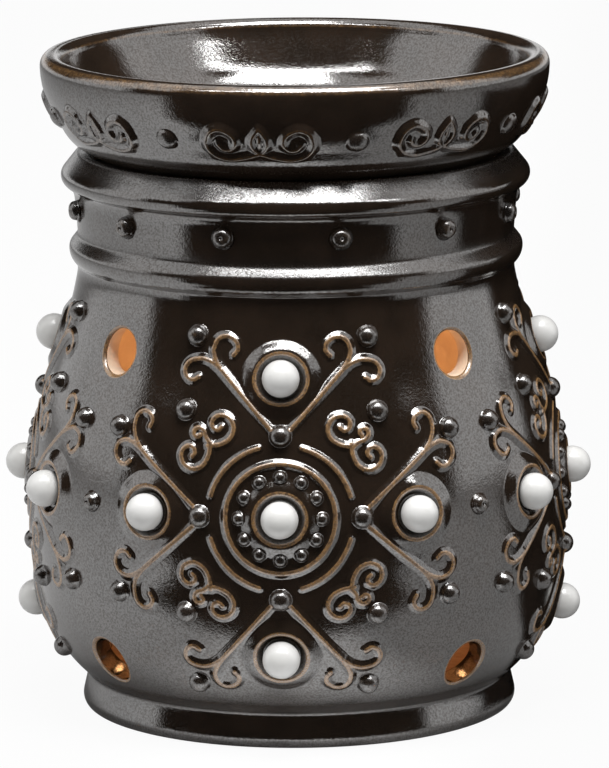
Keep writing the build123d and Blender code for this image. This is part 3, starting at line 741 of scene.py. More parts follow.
def filament_material():
    """Tungsten wire that glows."""
    made, tree, shader = material("hot_filament")
    scuffs = placed(tree, grain, Scale=900.0)
    tree.links.new(mixed(tree, scuffs["Tone"], rgb(0.30, 0.28, 0.26), rgb(0.42, 0.38, 0.34)),
                   shader.inputs["Base Color"])
    tree.links.new(mixed(tree, scuffs["Tone"], rgb(1.0, 0.55, 0.2), rgb(1.0, 0.66, 0.3)),
                   shader.inputs["Emission Color"])
    shader.inputs["Metallic"].default_value = 1.0
    shader.inputs["Emission Strength"].default_value = 6.0
    return made


glaze = glaze_material("lustre_glaze", 0.45, 0.95)
relief_glaze = glaze_material("relief_glaze", 0.55, 0.95)
band_glaze = glaze_material("band_glaze", 0.85, 1.4)
clay = bisque_material()
pearl_skin = pearl_material()


# Vessel

def vessel_outline():
    """Closed outline of the vessel: outside, mouth, lamp chamber and underside."""
    outside = np.concatenate((
        arc_through(FOOT_EDGE, FOOT_CREST, FOOT_FACE),
        runs(FOOT_FACE, GROOVE),
        body_face(0, GROOVE, WAIST),
        runs(WAIST, RIB_BOTTOM),
        arc_through(RIB_BOTTOM, RIB_CREST, RIB_SHOULDER),
        runs(RIB_SHOULDER, RIB_FLANK, RIB_TOP),
        runs(RIB_TOP, NECK_TOP),
        arc_about(NECK_TOP, (0, 1), ROLL_FOOT),
        arc_through(ROLL_FOOT, ROLL_CREST, ROLL_SHOULDER),
        runs(ROLL_SHOULDER, ROLL_FLANK, SEAT_EDGE),
    ))
    mouth = runs(SEAT_EDGE, (SEAT_BORE + SEAT_CHAMFER, SEAT_HEIGHT),
                 (SEAT_BORE, SEAT_HEIGHT - SEAT_CHAMFER), (SEAT_BORE, WAIST[1]))
    chamber = body_face(WALL, (FLOOR_COVE, FLOOR_TOP), (SEAT_BORE, WAIST[1]))[::-1]
    under = runs((FLOOR_COVE, FLOOR_TOP), (LAMP_HOLE, FLOOR_TOP), (LAMP_HOLE, FLOOR_UNDERSIDE),
                 (FOOT_INNER, FLOOR_UNDERSIDE), (FOOT_INNER, FOOT_EDGE[1]), FOOT_EDGE)
    return np.concatenate((outside, mouth, chamber, under))


GLAZE_ROUND = 0.45
VESSEL_SIDES = 300
BULGE_START = 0.5
BULGE_FULL = 1.3
# How matt the glaze is at these heights
MATT_HEIGHTS = (105.5, 107.0, 109.5, 111.5, 123.0, 125.0, 128.0)
MATT_LEVELS = (0, 1, 1, 0, 0, 1, 1)
MATT_INNER = SEAT_BORE + 2.0
CLAY_TOP = SEAT_HEIGHT - 4.0
CLAY_BELOW_FLOOR = 0.5
CLAY_ABOVE_FLOOR = 0.6
INWARD_LEAN = -0.3
DRILL_REACH = 80.0
DRILL_TUCK = 0.05
SHARP_ANGLE = math.radians(50)
NOTCH_ARCH_POINTS = 17
NOTCH_BELOW = -2.0
NOTCH_OVERRUN = 4.0

outer_face = even_line(body_face(0, GROOVE, WAIST), ARC_STEP)
inner_face = even_line(body_face(WALL, (FLOOR_COVE, FLOOR_TOP), (SEAT_BORE, WAIST[1])), ARC_STEP)


def mark_glaze(thing, outline, bulge):
    """Store where the glaze runs thin, as the turned outline bulges there, and where it is matt."""
    spots = points_of(thing.data)
    radii, heights = np.hypot(spots[:, 0], spots[:, 1]), spots[:, 2]
    near = nearest_on_outline(outline, radii, heights)
    set_values(thing, "crest", np.clip((bulge[near] - BULGE_START) / (BULGE_FULL - BULGE_START), 0, 1))
    matt = np.interp(heights, MATT_HEIGHTS, MATT_LEVELS)
    set_values(thing, "matt", np.where(radii > MATT_INNER, matt, 0))


def clay_inside(thing):
    """Give the faces that look into the lamp chamber the bare clay, and the others the glaze."""
    thing.data.materials.clear()
    for finish in (glaze, clay):
        thing.data.materials.append(finish)
    for face in thing.data.polygons:
        spot = face.center / MM
        radius = math.hypot(spot.x, spot.y)
        inward = face.normal.x * spot.x + face.normal.y * spot.y < INWARD_LEAN * radius
        on_floor = spot.z < FLOOR_TOP + CLAY_ABOVE_FLOOR and radius < FLOOR_COVE
        in_chamber = FLOOR_TOP - CLAY_BELOW_FLOOR < spot.z < CLAY_TOP
        face.material_index = int(in_chamber and (inward or on_floor))


def make_vessel():
    """Turned vessel with its light holes and cord notch."""
    outline, bulge = softened(vessel_outline(), GLAZE_ROUND)
    thing = turned("glazed_vessel", outline, VESSEL_SIDES)
    upper, lower = HOLE_HEIGHTS
    grown(thing, holes, {
        "Hole radius": (HOLE_RADIUS + HOLE_LIP - DRILL_TUCK) * MM, "Reach": DRILL_REACH * MM,
        "Lower height": lower * MM, "Upper height": upper * MM, "Count": HOLE_COUNT, "Material": glaze})
    cut_notch(thing)
    shade_smooth(thing.data)
    thing.data.set_sharp_from_angle(angle=SHARP_ANGLE)
    mark_glaze(thing, outline, bulge)
    clay_inside(thing)
    return thing


def cut_notch(thing):
    """Cut the arched cord notch through the back of the foot ring."""
    half = NOTCH_WIDTH / 2
    spring = FOOT_EDGE[1] + NOTCH_HEIGHT - half
    angles = np.linspace(0, math.pi, NOTCH_ARCH_POINTS)
    arch = [(half * math.cos(angle), spring + half * math.sin(angle)) for angle in angles]
    section = [(half, NOTCH_BELOW)] + arch + [(-half, NOTCH_BELOW)]
    count = len(section)
    ends = (FOOT_INNER - NOTCH_OVERRUN, FOOT_CREST[0] + NOTCH_OVERRUN)
    points = [(x, y, z) for y in ends for x, z in section]
    sides = [(i, (i + 1) % count, count + (i + 1) % count, count + i) for i in range(count)]
    cutter = piece("notch_cutter", points, sides + [range(count), range(2 * count - 1, count - 1, -1)])
    faces_outward(cutter)
    modifier = thing.modifiers.new("notch", "BOOLEAN")
    modifier.operation, modifier.solver, modifier.object = "DIFFERENCE", "EXACT", cutter
    keep_result(thing)
    bpy.data.objects.remove(cutter)


LIP_STEPS = 8
LIP_SIDES = 64
LIP_INNER_ROUND = 0.4
LIP_OVERLAP = 0.7
LIP_INNER_TUCK = 0.3
LIP_OUTER_TUCK = 0.5
LIP_FLAT_CREST = 0.2


def make_hole_lips():
    """Rounded lips and walls of the light holes, following the vessel's two faces."""
    around = np.linspace(0, 2 * math.pi, LIP_SIDES, endpoint=False)
    reach = HOLE_RADIUS + HOLE_LIP
    # Each row of the section is a radius, the face that it follows and how far it lies off that face
    section = [(reach - HOLE_LIP * math.sin(bend), outer_face, -HOLE_LIP * (1 - math.cos(bend)))
               for bend in np.linspace(0, math.pi / 2, LIP_STEPS)]
    section += [(HOLE_RADIUS, inner_face, LIP_INNER_ROUND), (HOLE_RADIUS + LIP_INNER_ROUND, inner_face, 0.0),
                (reach + LIP_OVERLAP, inner_face, LIP_INNER_TUCK),
                (reach + LIP_OVERLAP, outer_face, -LIP_OUTER_TUCK)]
    points, faces = [], []
    for height in HOLE_HEIGHTS:
        for index in range(HOLE_COUNT):
            azimuth = 2 * math.pi * (index + 0.5) / HOLE_COUNT
            outward, beside = outward_at(azimuth), outward_at(azimuth + math.pi / 2)
            first = len(points)
            for radius, wall_face, offset in section:
                for angle in around:
                    side, rise = radius * math.cos(angle), radius * math.sin(angle)
                    wall = np.interp(height + rise, wall_face[:, 1], wall_face[:, 0])
                    depth = math.sqrt(wall**2 - side**2) + offset
                    points.append(outward * depth + beside * side + (0, 0, height + rise))
            faces += [[first + corner for corner in quad] for quad in ring_faces(len(section), LIP_SIDES)]
    thing = piece("light_hole_lips", points, faces)
    faces_outward(thing)
    on_round = [0 < row < LIP_STEPS - 1 for row in range(len(section))]
    crest = np.repeat(np.where(on_round, 1.0, LIP_FLAT_CREST), LIP_SIDES)
    set_values(thing, "crest", np.tile(crest, len(HOLE_HEIGHTS) * HOLE_COUNT))
    for finish in (glaze, clay):
        thing.data.materials.append(finish)
    # The upper holes have walls of bare clay
    order = np.arange(len(thing.data.polygons)) // LIP_SIDES
    bare = (order % len(section) >= LIP_STEPS - 1) & (order < len(section) * HOLE_COUNT)
    thing.data.polygons.foreach_set("material_index", bare.astype(np.int32))
    return thing


# Relief that lies on the body and on the dish

PATH_STEP = 0.2
PATH_RESOLUTION = 10


def smooth_path(points):
    """Points along a smooth curve through a few chosen points."""
    curve = bpy.data.curves.new("path", "CURVE")
    curve.dimensions, curve.resolution_u = "3D", PATH_RESOLUTION
    spline = curve.splines.new("BEZIER")
    spline.bezier_points.add(len(points) - 1)
    for knot, (x, y) in zip(spline.bezier_points, points):
        knot.co = (x, y, 0)
        knot.handle_left_type = knot.handle_right_type = "AUTO"
    holder = linked("path", curve)
    mesh = evaluated_mesh(holder)
    line = np.array([vertex.co[:2] for vertex in mesh.vertices])
    bpy.data.objects.remove(holder)
    bpy.data.meshes.remove(mesh)
    return even_line(line, PATH_STEP)


# Millimetres of radius times degrees of turn for each point of a circle
CIRCLE_SPACING = 12


def circle_path(radius, start, end):
    """Points along part of a circle, with the angles in degrees from the right."""
    count = max(8, int(radius * abs(end - start) / CIRCLE_SPACING))
    angles = np.radians(np.linspace(start, end, count))
    return np.stack((radius * np.cos(angles), radius * np.sin(angles)), 1)


def tapered(line, start, middle, end):
    """Half widths along a line, eased from its start through its middle to its end."""
    return np.interp(np.linspace(0, 1, len(line)), (0, 0.5, 1), (start, middle, end))


FACE_STEP = 0.1


class Surface:
    """A turned face on which patterns are laid out by length across and length up.
    A band that runs right round takes its angles from the girth at its middle."""

    def __init__(self, face, height, right_round=False):
        self.face = even_line(face, FACE_STEP)
        steps = np.hypot(*np.diff(self.face, axis=0).T)
        self.lengths = np.r_[0, np.cumsum(steps)]
        self.middle = np.interp(height, self.face[:, 1], self.lengths)
        self.girth = np.interp(height, self.face[:, 1], self.face[:, 0])
        self.right_round = right_round

    def at(self, across, up, azimuth):
        """Points of the face, from lengths in millimetres and an azimuth in degrees."""
        along = self.middle + np.asarray(up, float)
        radius = np.interp(along, self.lengths, self.face[:, 0])
        height = np.interp(along, self.lengths, self.face[:, 1])
        girth = self.girth if self.right_round else radius
        angle = math.radians(azimuth) + np.asarray(across, float) / girth
        return np.stack((radius * np.sin(angle), -radius * np.cos(angle), height), -1)


def guide(name, points, reaches=None, edges=()):
    """A helper object of points that steers the relief. Each may have a reach in millimetres."""
    mesh = bpy.data.meshes.new(name)
    mesh.from_pydata((np.asarray(points) * MM).tolist(), list(edges), [])
    thing = linked(name, mesh)
    if reaches is not None:
        set_values(thing, "reach", np.asarray(reaches) * MM)
    return thing


def line_guide(name, surface, lines, azimuth):
    """Guide of lines laid on a surface. Each line is its points and its half widths."""
    points, reaches, edges = [], [], []
    for line, widths in lines:
        first = len(points)
        points += list(surface.at(line[:, 0], line[:, 1], azimuth))
        reaches += list(widths)
        edges += [(first + index, first + index + 1) for index in range(len(line) - 1)]
    return guide(name, points, reaches, edges)


def bead_guide(name, surface, beads, azimuth):
    """Guide of beads laid on a surface, each as across, up and radius."""
    across, up, radii = np.array(beads, float).T
    return guide(name, surface.at(across, up, azimuth), radii)


RELIEF_STEP = 0.25


def sheet_grid(name, surface, azimuth, across, up, inside):
    """Fine sheet on a surface, over the cells that a test keeps."""
    columns, rows = np.arange(-across, across, RELIEF_STEP), np.arange(-up, up, RELIEF_STEP)
    u, v = np.meshgrid(columns, rows)
    points = surface.at(u.ravel(), v.ravel(), azimuth)
    index = np.arange(u.size).reshape(u.shape)
    kept = inside(u[:-1, :-1], v[:-1, :-1])
    faces = np.stack((index[:-1, :-1], index[:-1, 1:], index[1:, 1:], index[1:, :-1]), -1)[kept]
    used = np.unique(faces)
    renumber = np.zeros(u.size, int)
    renumber[used] = np.arange(len(used))
    return piece(name, points[used], renumber[faces])


def turned_about(line, quarter, mirrored):
    """A line turned by quarter turns about the medallion's middle, mirrored first where asked."""
    turned_line = np.array(line, float) * ((-1, 1) if mirrored else (1, 1))
    for _ in range(quarter):
        turned_line = np.stack((-turned_line[:, 1], turned_line[:, 0]), 1)
    return turned_line


# Scrollwork of one medallion, drawn once for the upper right and repeated by turning and mirroring
ARM = [(2.2, 19.6), (7.2, 25.4), (12.0, 31.0), (14.5, 33.8)]
INNER_CURL = [(13.4, 32.6), (14.8, 35.2), (15.0, 37.4), (13.2, 39.8), (10.6, 39.4), (9.6, 37.4),
              (10.6, 35.8)]
OUTER_CURL = [(13.4, 32.6), (16.0, 34.3), (18.9, 34.6), (21.4, 33.3), (21.8, 31.2), (20.2, 29.9),
              (18.6, 30.6)]
LEAF_CURL = [(16.2, 15.6), (13.0, 16.2), (10.8, 18.0), (10.5, 20.6), (12.4, 22.4), (14.7, 21.8),
             (15.2, 20.0), (13.9, 19.2), (13.0, 19.9)]
MIDDLE_CURL = [(15.8, 15.4), (17.4, 16.6), (18.9, 17.2), (19.4, 18.6), (18.4, 19.5), (17.4, 18.8),
               (17.9, 17.9)]
ARM_WIDTHS = (1.0, 1.15, 1.25)
CURL_WIDTHS = (1.15, 1.05, 0.95)
LEAF_WIDTHS = (0.9, 1.0, 0.9)
OUTER_RING = 16.2
OUTER_RING_ENDS = (17, 73)
OUTER_RING_WIDTHS = (0.8, 0.9, 0.8)
INNER_RING = 12.1
INNER_RING_WIDTHS = (1.05, 1.05, 1.05)

# Beads of one medallion: round the cup, at the arms' knots, and loose ones as across, above and below
CUP_RING = 9.2
CUP_BEADS = 12
CUP_BEAD_RADIUS = 1.5
KNOT_PLACE = 18.2
KNOT_RADIUS = 2.45
LOOSE_BEADS = ((19.0, 39.8, -39.6), (39.2, 17.8, -19.2), (21.5, 23.2, -22.0))
LOOSE_BEAD_RADIUS = 2.4

# Place of each pearl of one medallion, as an angle and a height from its middle
PEARL_PLACES = ((0, 0), (-SIDE_PEARL_ANGLE, 0), (SIDE_PEARL_ANGLE, 0), (0, TOP_PEARL_RISE),
                (0, -BOTTOM_PEARL_DROP))
PEARL_SIDES = 40

# Sheet that a medallion is raised from, as its half width, half height and reach, and its relief
MEDALLION_SHEET = (46.0, 44.5)
MEDALLION_REACH = 48.0
MEDALLION_RELIEF = {
    "Ridge slope": 0.75, "Ridge round": 0.3 * MM,
    "Cup height": 1.4 * MM, "Cup slope": 1.25, "Cup skirt": 0.44,
    "Cup crest": 5.75 * MM, "Cup round": 0.4 * MM,
    "Bead share": 1.0, "Bead blend": 0.55 * MM, "Blend": 0.5 * MM, "Sink": 0.05 * MM}


def medallion_lines():
    """Lines of one medallion with their half widths."""
    drawn = []
    for quarter in range(4):
        for mirrored in (False, True):
            for points, widths in ((ARM, ARM_WIDTHS), (INNER_CURL, CURL_WIDTHS), (OUTER_CURL, CURL_WIDTHS)):
                line = smooth_path(turned_about(points, quarter, mirrored))
                drawn.append((line, tapered(line, *widths)))
        leaf = np.array(LEAF_CURL)
        for points in (leaf, leaf[:, ::-1], MIDDLE_CURL):
            line = smooth_path(turned_about(points, quarter, False))
            drawn.append((line, tapered(line, *LEAF_WIDTHS)))
        start, end = (angle + 90 * quarter for angle in OUTER_RING_ENDS)
        ring = circle_path(OUTER_RING, start, end)
        drawn.append((ring, tapered(ring, *OUTER_RING_WIDTHS)))
    ring = circle_path(INNER_RING, 0, 360)
    drawn.append((ring, tapered(ring, *INNER_RING_WIDTHS)))
    return drawn


def medallion_beads():
    """Beads of one medallion as across, up and radius."""
    beads = []
    for index in range(CUP_BEADS):
        angle = 2 * math.pi * index / CUP_BEADS
        beads.append((CUP_RING * math.sin(angle), CUP_RING * math.cos(angle), CUP_BEAD_RADIUS))
    for x, y in ((KNOT_PLACE, 0), (0, KNOT_PLACE), (-KNOT_PLACE, 0), (0, -KNOT_PLACE)):
        beads.append((x, y, KNOT_RADIUS))
    for x, above, below in LOOSE_BEADS:
        beads += [(side * x, y, LOOSE_BEAD_RADIUS) for side in (1, -1) for y in (above, below)]
    return beads


body = Surface(body_face(0, GROOVE, WAIST), MEDALLION_HEIGHT)


def on_body(azimuth, height):
    """Point of the body's face and the way out of it."""
    index = np.abs(body.face[:, 1] - height).argmin()
    low, high = body.face[index - 1], body.face[index + 1]
    radius = np.interp(height, body.face[:, 1], body.face[:, 0])
    along = (high - low) / np.hypot(*(high - low))
    outward = outward_at(math.radians(azimuth))
    return outward * radius + (0, 0, height), outward * along[1] - (0, 0, along[0])


def raise_relief(sheet, guides, sizes, finish):
    """Raise a sheet along its guides, and remove them."""
    grown(sheet, relief, {**dict(zip(("Lines", "Beads", "Cups"), guides)), **sizes, "Material": finish})
    for helper in guides:
        bpy.data.objects.remove(helper)


def make_medallions():
    """Four medallions of raised scrollwork, beads, rings and pearl cups."""
    cups = [on_body(angle, MEDALLION_HEIGHT + rise)[0] for angle, rise in PEARL_PLACES]
    guides = (line_guide("medallion_lines", body, medallion_lines(), 0),
              bead_guide("medallion_beads", body, medallion_beads(), 0), guide("medallion_cups", cups))
    first = sheet_grid(f"medallion_{MEDALLION_NAMES[0]}", body, 0, *MEDALLION_SHEET,
                       lambda u, v: u**2 + v**2 < MEDALLION_REACH**2)
    raise_relief(first, guides, MEDALLION_RELIEF, relief_glaze)
    made = [first]
    for quarter, name in enumerate(MEDALLION_NAMES[1:], 1):
        mesh = first.data.copy()
        mesh.transform(Matrix.Rotation(quarter * math.pi / 2, 4, "Z"))
        made.append(linked(f"medallion_{name}", mesh))
    return made


def spots_object(name, places):
    """Helper mesh of points, each facing out of its surface."""
    mesh = bpy.data.meshes.new(name)
    mesh.from_pydata([(np.asarray(point) * MM).tolist() for point, _ in places], [], [])
    facing = mesh.attributes.new("facing", "FLOAT_VECTOR", "POINT")
    facing.data.foreach_set("vector", np.array([out for _, out in places], np.float32).ravel())
    return linked(name, mesh)


def set_down(name, places, shape, finish):
    """Copies of a shape on its places, as one piece."""
    thing = grown(spots_object(name, places), seated, {"Shape": shape, "Material": finish})
    bpy.data.objects.remove(shape)
    return thing


def make_pearls():
    """Pearls in all the cups: domes with a flat back."""
    back = PEARL_BACK - PEARL_STAND
    rim = math.sqrt(PEARL_RADIUS**2 - back**2)
    dome = arc_through((rim, back), (PEARL_RADIUS, 0), (0, PEARL_RADIUS))[::2]
    shape = turned("pearl_shape", np.vstack((dome, [(0, back)])), PEARL_SIDES)
    shape.data.transform(Matrix.Translation((0, 0, PEARL_STAND * MM)))
    places = [on_body(90 * turn + angle, MEDALLION_HEIGHT + rise)
              for turn in range(len(MEDALLION_NAMES)) for angle, rise in PEARL_PLACES]
    return set_down("set_pearls", places, shape, pearl_skin)


BEAD_SIDES = 32
BEAD_WAIST = 0.35
BEAD_ROOT = -0.1
BEAD_BARE = 0.2
BEAD_MATT_RISE = 4


def bead_shape(name, radius, height, flare):
    """Cast bead with a glazed flare round its foot."""
    waist = (radius, BEAD_WAIST * height)
    dome = arc_about(waist, (0, 1), (0, height))[::2]
    foot = arc_about(waist, (0, -1), (radius + flare, BEAD_ROOT))[::-1][::2]
    shape = turned(name, np.vstack((foot, dome, [(0, BEAD_ROOT)])), BEAD_SIDES)
    rise = points_of(shape.data)[:, 2] / height
    set_values(shape, "crest", np.clip(rise - BEAD_BARE, 0, BEAD_CREST))
    set_values(shape, "matt", np.clip(BEAD_MATT_RISE * rise, 0, 1))
    return shape


NECK_BEADS = 12
NECK_BEAD_HEIGHT = 115.4
# Radius, height and flare of the beads
NECK_BEAD = (2.2, 1.9, 0.6)
BETWEEN_BEAD = (1.9, 1.6, 0.7)


def make_neck_beads():
    """Ring of beads round the neck."""
    radius = np.interp(NECK_BEAD_HEIGHT, (RIB_TOP[1], NECK_TOP[1]), (RIB_TOP[0], NECK_TOP[0]))
    places = []
    for index in range(NECK_BEADS):
        outward = outward_at(2 * math.pi * (index + 0.5) / NECK_BEADS)
        places.append((outward * radius + (0, 0, NECK_BEAD_HEIGHT), outward))
    return set_down("neck_beads", places, bead_shape("bead", *NECK_BEAD), relief_glaze)


def make_between_beads():
    """One small bead between each pair of medallions."""
    places = [on_body(45 + 90 * index, MEDALLION_HEIGHT) for index in range(4)]
    return set_down("between_beads", places, bead_shape("bead", *BETWEEN_BEAD), relief_glaze)


# Dish

def dish_outer():
    """Outer face of the dish from its ledge up to the rim."""
    lower = arc_about(DISH_LEDGE, DISH_FLARE, DISH_KNUCKLE)
    upper = arc_about(DISH_RIM, (0, -1), DISH_KNUCKLE)[::-1]
    return np.concatenate((lower, upper))


# The outline is softened as a ring that stops short of the axis, and then closed on the axis
DISH_PLUG = 1.0
DISH_AXIS_CLEAR = 3.0
# Turns about the middle of the dish's lip, in degrees up from outwards, and how thin the glaze is there
RIM_TURNS = (-10, 20, 45, 62, 68, 140, 150, 165, 178)
RIM_THINNESS = (0, 0.6, 0.66, 0.6, 0, 0, 0.62, 0.6, 0)
RIM_SLACK = 0.4
RIM_DROP = 0.5


def dish_outline():
    """Outline of the dish, from the axis under its floor, round the lip and back to the axis."""
    lip_middle = (DISH_RIM[0] - DISH_LIP, DISH_RIM[1] + DISH_LIP)
    lip_inner = (DISH_RIM[0] - 2 * DISH_LIP, DISH_RIM[1])
    foot_inside = DISH_FOOT - DISH_FOOT_WIDTH
    ring = np.concatenate((
        dish_outer(),
        arc_through(DISH_RIM, lip_middle, lip_inner),
        runs(lip_inner, DISH_BEND),
        arc_about((DISH_FLOOR_RADIUS, DISH_FLOOR), (1, 0), DISH_BEND)[::-1],
        runs((DISH_FLOOR_RADIUS, DISH_FLOOR), (DISH_PLUG, DISH_FLOOR), (DISH_PLUG, DISH_UNDERSIDE),
             (foot_inside, DISH_UNDERSIDE), (foot_inside, DISH_FOOT_BOTTOM), (DISH_FOOT, DISH_FOOT_BOTTOM),
             (DISH_FOOT, SEAT_HEIGHT), (DISH_LEDGE[0], SEAT_HEIGHT), DISH_LEDGE)))
    outline, _ = softened(ring, GLAZE_ROUND)
    outline = np.roll(outline, -int(np.argmax(outline[:, 0] < DISH_AXIS_CLEAR)), 0)
    outline = outline[outline[:, 0] > DISH_AXIS_CLEAR]
    return np.vstack(([(0, DISH_UNDERSIDE)], outline, [(0, DISH_FLOOR)]))


def make_dish():
    """Turned dish with a foot ring and a rounded lip, where the glaze runs thin."""
    thing = turned("glazed_dish", dish_outline(), VESSEL_SIDES)
    spots = points_of(thing.data)
    rise = spots[:, 2] - DISH_RIM[1]
    reach = np.hypot(spots[:, 0], spots[:, 1]) - (DISH_RIM[0] - DISH_LIP)
    on_lip = (np.hypot(rise, reach) < DISH_LIP + RIM_SLACK) & (rise > -RIM_DROP)
    thin = np.interp(np.degrees(np.arctan2(rise, reach)), RIM_TURNS, RIM_THINNESS)
    set_values(thing, "crest", np.where(on_lip, thin, 0))
    thing.data.materials.append(glaze)
    return thing


# Band of the dish: a bud between two volutes, and beads half way between the motifs
BAND_HEIGHT = 137.6
BAND_MOTIFS = 8
BAND_START = 18.0
VOLUTE = [(0, -3.2), (-4.0, -4.4), (-8.2, -4.6), (-11.2, -2.8), (-11.7, 0.5), (-9.7, 2.9),
          (-6.9, 2.5), (-5.3, 0.3), (-6.1, -1.7), (-8.1, -2.0), (-9.2, -0.7)]
VOLUTE_WIDTHS = (1.1, 1.25, 1.0)
BUD_SIDE = [(0, -3.3), (-1.5, -1.6), (-1.7, 0.3), (-0.9, 2.0), (0, 3.3)]
BUD_WIDTHS = (0.9, 1.0, 0.9)
BUD_HEART = [(0, -1.6), (0, 0), (0, 1.4)]
HEART_WIDTHS = (0.5, 0.7, 0.5)
BAND_BEAD_RISE = -0.4
BAND_BEAD_RADIUS = 2.5
BAND_HALF_HEIGHT = 5.4
BAND_SPARE = 3.5
BAND_OVERLAP = 3.0
# The band has no cups, so its cup height is far under the sheet
BAND_RELIEF = {
    "Ridge slope": 0.85, "Ridge round": 0.35 * MM,
    "Cup height": -5 * MM, "Cup slope": 1.0, "Cup skirt": 1.0,
    "Cup crest": 5.7 * MM, "Cup round": 0.4 * MM,
    "Bead share": 0.6, "Bead blend": 0.8 * MM, "Blend": 0.5 * MM, "Sink": 0.05 * MM}


def flipped(points):
    """Points mirrored left to right."""
    return [(-x, y) for x, y in points]


def make_band():
    """Raised scroll band round the dish."""
    wall = Surface(dish_outer(), BAND_HEIGHT, right_round=True)
    step, girth = 360 / BAND_MOTIFS, wall.girth
    lines, beads = [], []
    for index in range(BAND_MOTIFS):
        shift = math.radians(index * step - 180 + step / 2) * girth
        for points, widths in ((VOLUTE, VOLUTE_WIDTHS), (flipped(VOLUTE), VOLUTE_WIDTHS),
                               (BUD_SIDE, BUD_WIDTHS), (flipped(BUD_SIDE), BUD_WIDTHS),
                               (BUD_HEART, HEART_WIDTHS)):
            line = smooth_path(points) + (shift, 0)
            lines.append((line, tapered(line, *widths)))
        beads.append((shift + math.radians(step / 2) * girth, BAND_BEAD_RISE, BAND_BEAD_RADIUS))
    half = math.pi * girth
    guides = (line_guide("band_lines", wall, lines, BAND_START),
              bead_guide("band_beads", wall, beads, BAND_START), guide("band_cups", [(0, 0, 0)]))
    thing = sheet_grid("dish_band", wall, BAND_START, half + BAND_SPARE, BAND_HALF_HEIGHT,
                       lambda u, v: u < half + BAND_OVERLAP)
    raise_relief(thing, guides, BAND_RELIEF, band_glaze)
    return thing


# Lamp

def dress(finish, *names):
    """Give CAD nodes a finish."""
    for name in names:
        slots = nodes[name].data.materials
        slots.clear()
        slots.append(finish)


def dress_lamp():
    """Finishes of the lamp kit, the bulb and the foot pads."""
    round_grain, up_grain = (1.0, 1.0, 6.0), (4.0, 4.0, 0.5)
    zinc = metal_material("zinc_plate", (0.60, 0.60, 0.57), (0.52, 0.52, 0.50), 0.28, 0.45, round_grain)
    spring = metal_material("spring_strip", (0.48, 0.49, 0.51), (0.40, 0.41, 0.43), 0.22, 0.38, up_grain)
    brass = metal_material("drawn_brass", (0.72, 0.53, 0.25), (0.62, 0.44, 0.20), 0.22, 0.4, round_grain)
    cap = metal_material("rolled_cap", (0.72, 0.72, 0.70), (0.62, 0.62, 0.61), 0.25, 0.42, round_grain)
    solder = metal_material("solder_dot", (0.55, 0.55, 0.54), (0.46, 0.46, 0.46), 0.4, 0.6, (1.0, 1.0, 1.0))
    wire = metal_material("lead_wire", (0.55, 0.50, 0.45), (0.45, 0.41, 0.37), 0.3, 0.45, (1.0, 1.0, 1.0))
    phenolic = moulded_material("socket_phenolic", (0.030, 0.028, 0.027), (0.045, 0.042, 0.040), 0.35, 0.55)
    bushing = moulded_material("cord_bushing_plastic", (0.04, 0.04, 0.042), (0.055, 0.055, 0.056), 0.4, 0.6)
    rubber = moulded_material("pad_rubber", (0.045, 0.045, 0.045), (0.06, 0.06, 0.06), 0.75, 0.92)
    vitrite = moulded_material("cap_vitrite", (0.02, 0.02, 0.03), (0.035, 0.03, 0.045), 0.12, 0.25)
    glass = glass_material()
    dress(zinc, "mount_plate", "wing_rivets", "threaded_nipple", "washer")
    dress(spring, "spring_wing_left", "spring_wing_right")
    dress(brass, "screw_shell", "centre_contact", "lock_nut")
    dress(phenolic, "socket_barrel", "contact_carrier")
    dress(bushing, "cord_bushing")
    dress(rubber, "foot_pads")
    dress(cap, "bulb_cap")
    dress(vitrite, "cap_insulator")
    dress(solder, "cap_contact")
    dress(wire, "lead_wires", "filament_support")
    dress(glass, "glass_globe", "glass_stem")
    dress(filament_material(), "filament")


# Stage: floor, dark cards, lights and camera

# Edge of the floor in millimetres, cut close in front so that the body mirrors the dark card there
FLOOR_RIGHT = [(0, -101), (60, -100), (94, -95), (116, -145), (226, -165), (404, -283), (4000, -2660),
               (4000, 6000)]
FLOOR_LEFT = [(-4000, 6000), (-4000, -2660), (-404, -283), (-226, -165), (-123, -140), (-108, -85),
              (-60, -95)]
# Painted shade darkens the floor's colour to the right over this span of x, and painted light pales a strip
# down the middle, in metres
FLOOR_SHADE_SPAN = (-0.14, 0.06)
FLOOR_LIT_STRIP = (0.015, 0.055)
FLOOR_SHOWN_WHITE = 0.95
WORLD_LIGHT = 0.5

# Dark cards: azimuths and elevations in degrees, and distance in metres
FLAGS = {
    "front_flag": ((-76, 74), (-80, 27), 2.4),
    "middle_front_flag": ((-58, 56), (27, 53), 2.4),
    "upper_front_flag": ((-76, 74), (53, 66), 2.4),
    "right_flag": ((104, 178), (0, 55), 0.17),
    "back_left_flag": ((-178, -114), (12, 54), 2.3),
    "back_right_flag": ((114, 178), (12, 54), 2.3),
}
FLAG_POINTS = 24
# Painted shadow of the object on the floor behind it to the right, a dark card that only reflections see:
# azimuths in degrees, reaches and height in millimetres
FLOOR_SHADOW_AZIMUTHS = (94, 178)
FLOOR_SHADOW_REACHES = (52, 700)
FLOOR_SHADOW_HEIGHT = 0.4

# Lamps: width and depth in metres, power in watts, and place
OVERHEAD_LAMPS = {
    "overhead": ((0.6, 0.56), 19.0, (0.13, -0.27, 1.2)),
    "overhead_strip": ((1.7, 0.09), 8.0, (0.16, -0.53, 1.2)),
}
GLOW_COLOUR = (1.0, 0.52, 0.22)
GLOW_POWER = 0.045
GLOW_RADIUS = 0.012


